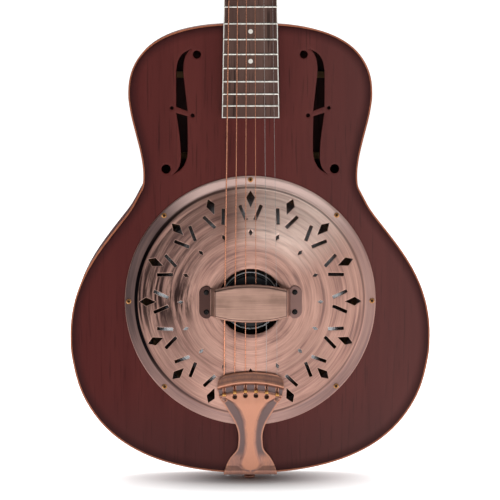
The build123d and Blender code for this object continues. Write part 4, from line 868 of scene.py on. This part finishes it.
def tail_loop():
    front = TAIL_FRONT
    arc = [(x, front - TAIL_RADIUS + math.sqrt(TAIL_RADIUS ** 2 - x * x)) for x in np.linspace(0, 28.0, 16)]
    side = curve_through([arc[-1], (33.3, front - 8.0), (34.5, front - 13.0), (34.2, front - 20.5),
                          (32.1, front - 28.4), (28.6, front - 33.8), (23.4, front - 42.3),
                          (16.5, front - 54.4), (12.9, front - 65.3), (12.7, 33.4), (14.4, 25.0),
                          (21.3, 16.3), (26.3, 6.0), (27.9, 0.0)], 6)
    down = [(27.9, -3.0), (27.9, -18.0), (13.0, -36.0), (13.0, -56.0), (11.0, -60.5), (8.0, -61.5),
            (0, -61.5)]
    right = np.vstack([np.array(arc), side[1:], np.array(down)])
    left = right[1:-1][::-1] * np.array([-1, 1])
    return dense(np.vstack([right, left]), 1.4)


def ball_x(number):
    """Where a string's ball sits across the tailpiece, string 1 on the treble side."""
    return BALL_SPAN / 2 - BALL_SPAN * (number - 1) / 5


def arc_s(back, x):
    return TAIL_FRONT - TAIL_RADIUS + math.sqrt((TAIL_RADIUS - back) ** 2 - x * x)


def keyholes():
    loops = []
    for number in range(1, 7):
        x = ball_x(number)
        hole_s, slot_s = arc_s(24.9, x), arc_s(13.2, x)
        a = np.linspace(math.radians(112), math.radians(428), 22)
        round_part = np.column_stack([x + 2.4 * np.cos(a), hole_s + 2.4 * np.sin(a)])
        slot = [[x + 0.9, hole_s + 6.0], [x + 0.9, slot_s], [x - 0.9, slot_s], [x - 0.9, hole_s + 6.0]]
        loops.append(np.vstack([round_part, slot]))
    return loops


def tail_values(co, away):
    x, s = co[:, 0], co[:, 1]
    back = tail_back(x, s)
    wear = np.interp(back, [0, 0.9, 1.8, 2.6, 5.2, 8.0, 9.2, 10.2, 12.0, 12.9, 14.2, 19.3, 20.6, 21.4, 60],
                     [1.0, 1.0, 0.8, 0.3, 0.55, 0.3, 0.7, 1.0, 1.0, 0.5, 0.12, 0.16, 0.7, 1.0, 1.0])
    body = smooth(-2.6, 3.6, spine_half(s) - np.abs(x))
    rim = smooth(2.2, 0.5, away) * 0.55
    foot = smooth(24.0, 15.0, s) * 0.34 * smooth(8.8, 12.0, np.hypot(x, s - 12.0))
    body = np.maximum(np.maximum(body, rim), foot)
    wear = np.where(back > 21.0, np.minimum(wear, 0.16 + 0.84 * body), wear)
    wear = np.where(s < -0.2, 0.35, wear)
    return {"wear": np.clip(wear, 0, 1)}


tail_grid = np.vstack([
    hex_grid(-36, 36, 0.4, TAIL_FRONT + 1, 0.8),
    np.array([(x, s) for s in np.arange(-3.0, 0.3, 0.35) for x in np.arange(-27.6, 27.7, 1.0)]),
    hex_grid(-28, 28, -62, -3.6, 2.2),
])
leg_holes = [circle(x, -(drop + LEG_SHIFT), r, count)
             for x, drop, r, count in ((0, 44.7, 2.05, 20), (-23.5, 10.7, 1.45, 16), (23.5, 10.7, 1.45, 16),
                                       (0, 57.2, 1.45, 16))]
tail = sheet("tailpiece_stamped", tail_loop(), keyholes() + leg_holes, tail_grid, tail_place, 1.0, roll=0.3,
             attributes=tail_values, sharp=60)
stand_for(tail, "tailpiece", tail_copper)


# ---------------------------------------------------------------- floor, light and camera

floor_z = cad_box[0].z - 0.0004
bpy.ops.mesh.primitive_circle_add(vertices=96, radius=9.0, fill_type="NGON", location=(0, 0, floor_z))
floor = bpy.context.object
floor.name = "floor"
# The floor glows white away from the guitar; the glow fades toward the guitar's foot, painting the shadow on
# the floor under it.
g = Graph("pale_floor_painted_shadow")
fn = g.noise(g.scaled(3, 3, 3), detail=2.0)
fx, fy, _ = g.xyz()
wide, deep = g.math("DIVIDE", fx, 0.155), g.math("DIVIDE", fy, 0.098)
away = g.reach(wide, deep)
g.base(Base_Color=g.mix(fn, (0.86, 0.86, 0.86, 1), (0.88, 0.88, 0.88, 1)), Roughness=0.9,
       Emission_Color=(1, 1, 1, 1), Emission_Strength=g.ramp(away, 0.0, 1.15, 0.0, 0.9))
g.bsdf.inputs["Specular IOR Level"].default_value = 0.0
floor.data.materials.append(g.mat)

scene = bpy.context.scene
scene.view_settings.view_transform = "Standard"
sky = bpy.data.worlds.new("studio")
sky.use_nodes = True
tree = sky.node_tree


def sky_node(kind, **inputs):
    n = tree.nodes.new(kind)
    for key, value in inputs.items():
        socket = n.inputs[int(key[1:])]
        if hasattr(value, "is_output"):
            tree.links.new(value, socket)
        else:
            socket.default_value = value
    return n


direction = tree.nodes.new("ShaderNodeTexCoord").outputs["Generated"]
across, depth, up = sky_node("ShaderNodeSeparateXYZ", i0=direction).outputs
above = sky_node("ShaderNodeMapRange", i0=up, i1=0.1, i2=0.85, i3=0.0, i4=0.16).outputs[0]
right = sky_node("ShaderNodeMapRange", i0=across, i1=-0.15, i2=0.75, i3=0.0, i4=0.18).outputs[0]
total = sky_node("ShaderNodeMath", i0=above, i1=right).outputs[0]
level = sky_node("ShaderNodeMath", i0=total, i1=0.065).outputs[0]
tree.links.new(level, tree.nodes["Background"].inputs[1])
tree.nodes["Background"].inputs[0].default_value = (1, 1, 1, 1)
white = tree.nodes.new("ShaderNodeBackground")
white.inputs[0].default_value = (1, 1, 1, 1)
white.inputs[1].default_value = 1.2
seen = tree.nodes.new("ShaderNodeLightPath")
mix = tree.nodes.new("ShaderNodeMixShader")
tree.links.new(seen.outputs["Is Camera Ray"], mix.inputs[0])
tree.links.new(tree.nodes["Background"].outputs[0], mix.inputs[1])
tree.links.new(white.outputs[0], mix.inputs[2])
tree.links.new(mix.outputs[0], tree.nodes["World Output"].inputs[0])
scene.world = sky


def area(name, place, target, size, power, size_y=None):
    data = bpy.data.lights.new(name, "AREA")
    data.shape = "RECTANGLE"
    data.size = size
    data.size_y = size_y or size
    data.energy = power
    lamp = bpy.data.objects.new(name, data)
    lamp.location = place
    lamp.rotation_mode = "QUATERNION"
    lamp.rotation_quaternion = (Vector(place) - Vector(target)).to_track_quat("Z", "Y")
    bpy.context.collection.objects.link(lamp)


middle = (0, -0.04, 0.25)
area("key", (0.7, -2.3, 2.1), middle, 1.3, 6.5, 0.9)
area("right_box", (2.4, -1.6, 0.9), middle, 0.9, 5.5, 1.8)
area("overhead", (0.0, 0.8, 2.2), (0, 0.6, 0), 2.6, 50, 1.6)
area("front_fill", (-0.6, -3.4, 0.9), middle, 1.6, 3.0, 1.2)
area("rear", (0.6, 2.6, 1.8), middle, 2.0, 18)

camera = bpy.data.objects.new("camera", bpy.data.cameras.new("camera"))
bpy.context.collection.objects.link(camera)
target = Vector((-0.0004, -FRONT / 1000, 0.2354))
camera.location = Vector((-0.06, -FRONT / 1000 - 2.70, 0.50))
camera.rotation_mode = "QUATERNION"
camera.rotation_quaternion = (camera.location - target).to_track_quat("Z", "Y")
camera.data.sensor_width = 36.0
camera.data.lens = 36.0 * (camera.location - target).length / 0.5212
scene.camera = camera
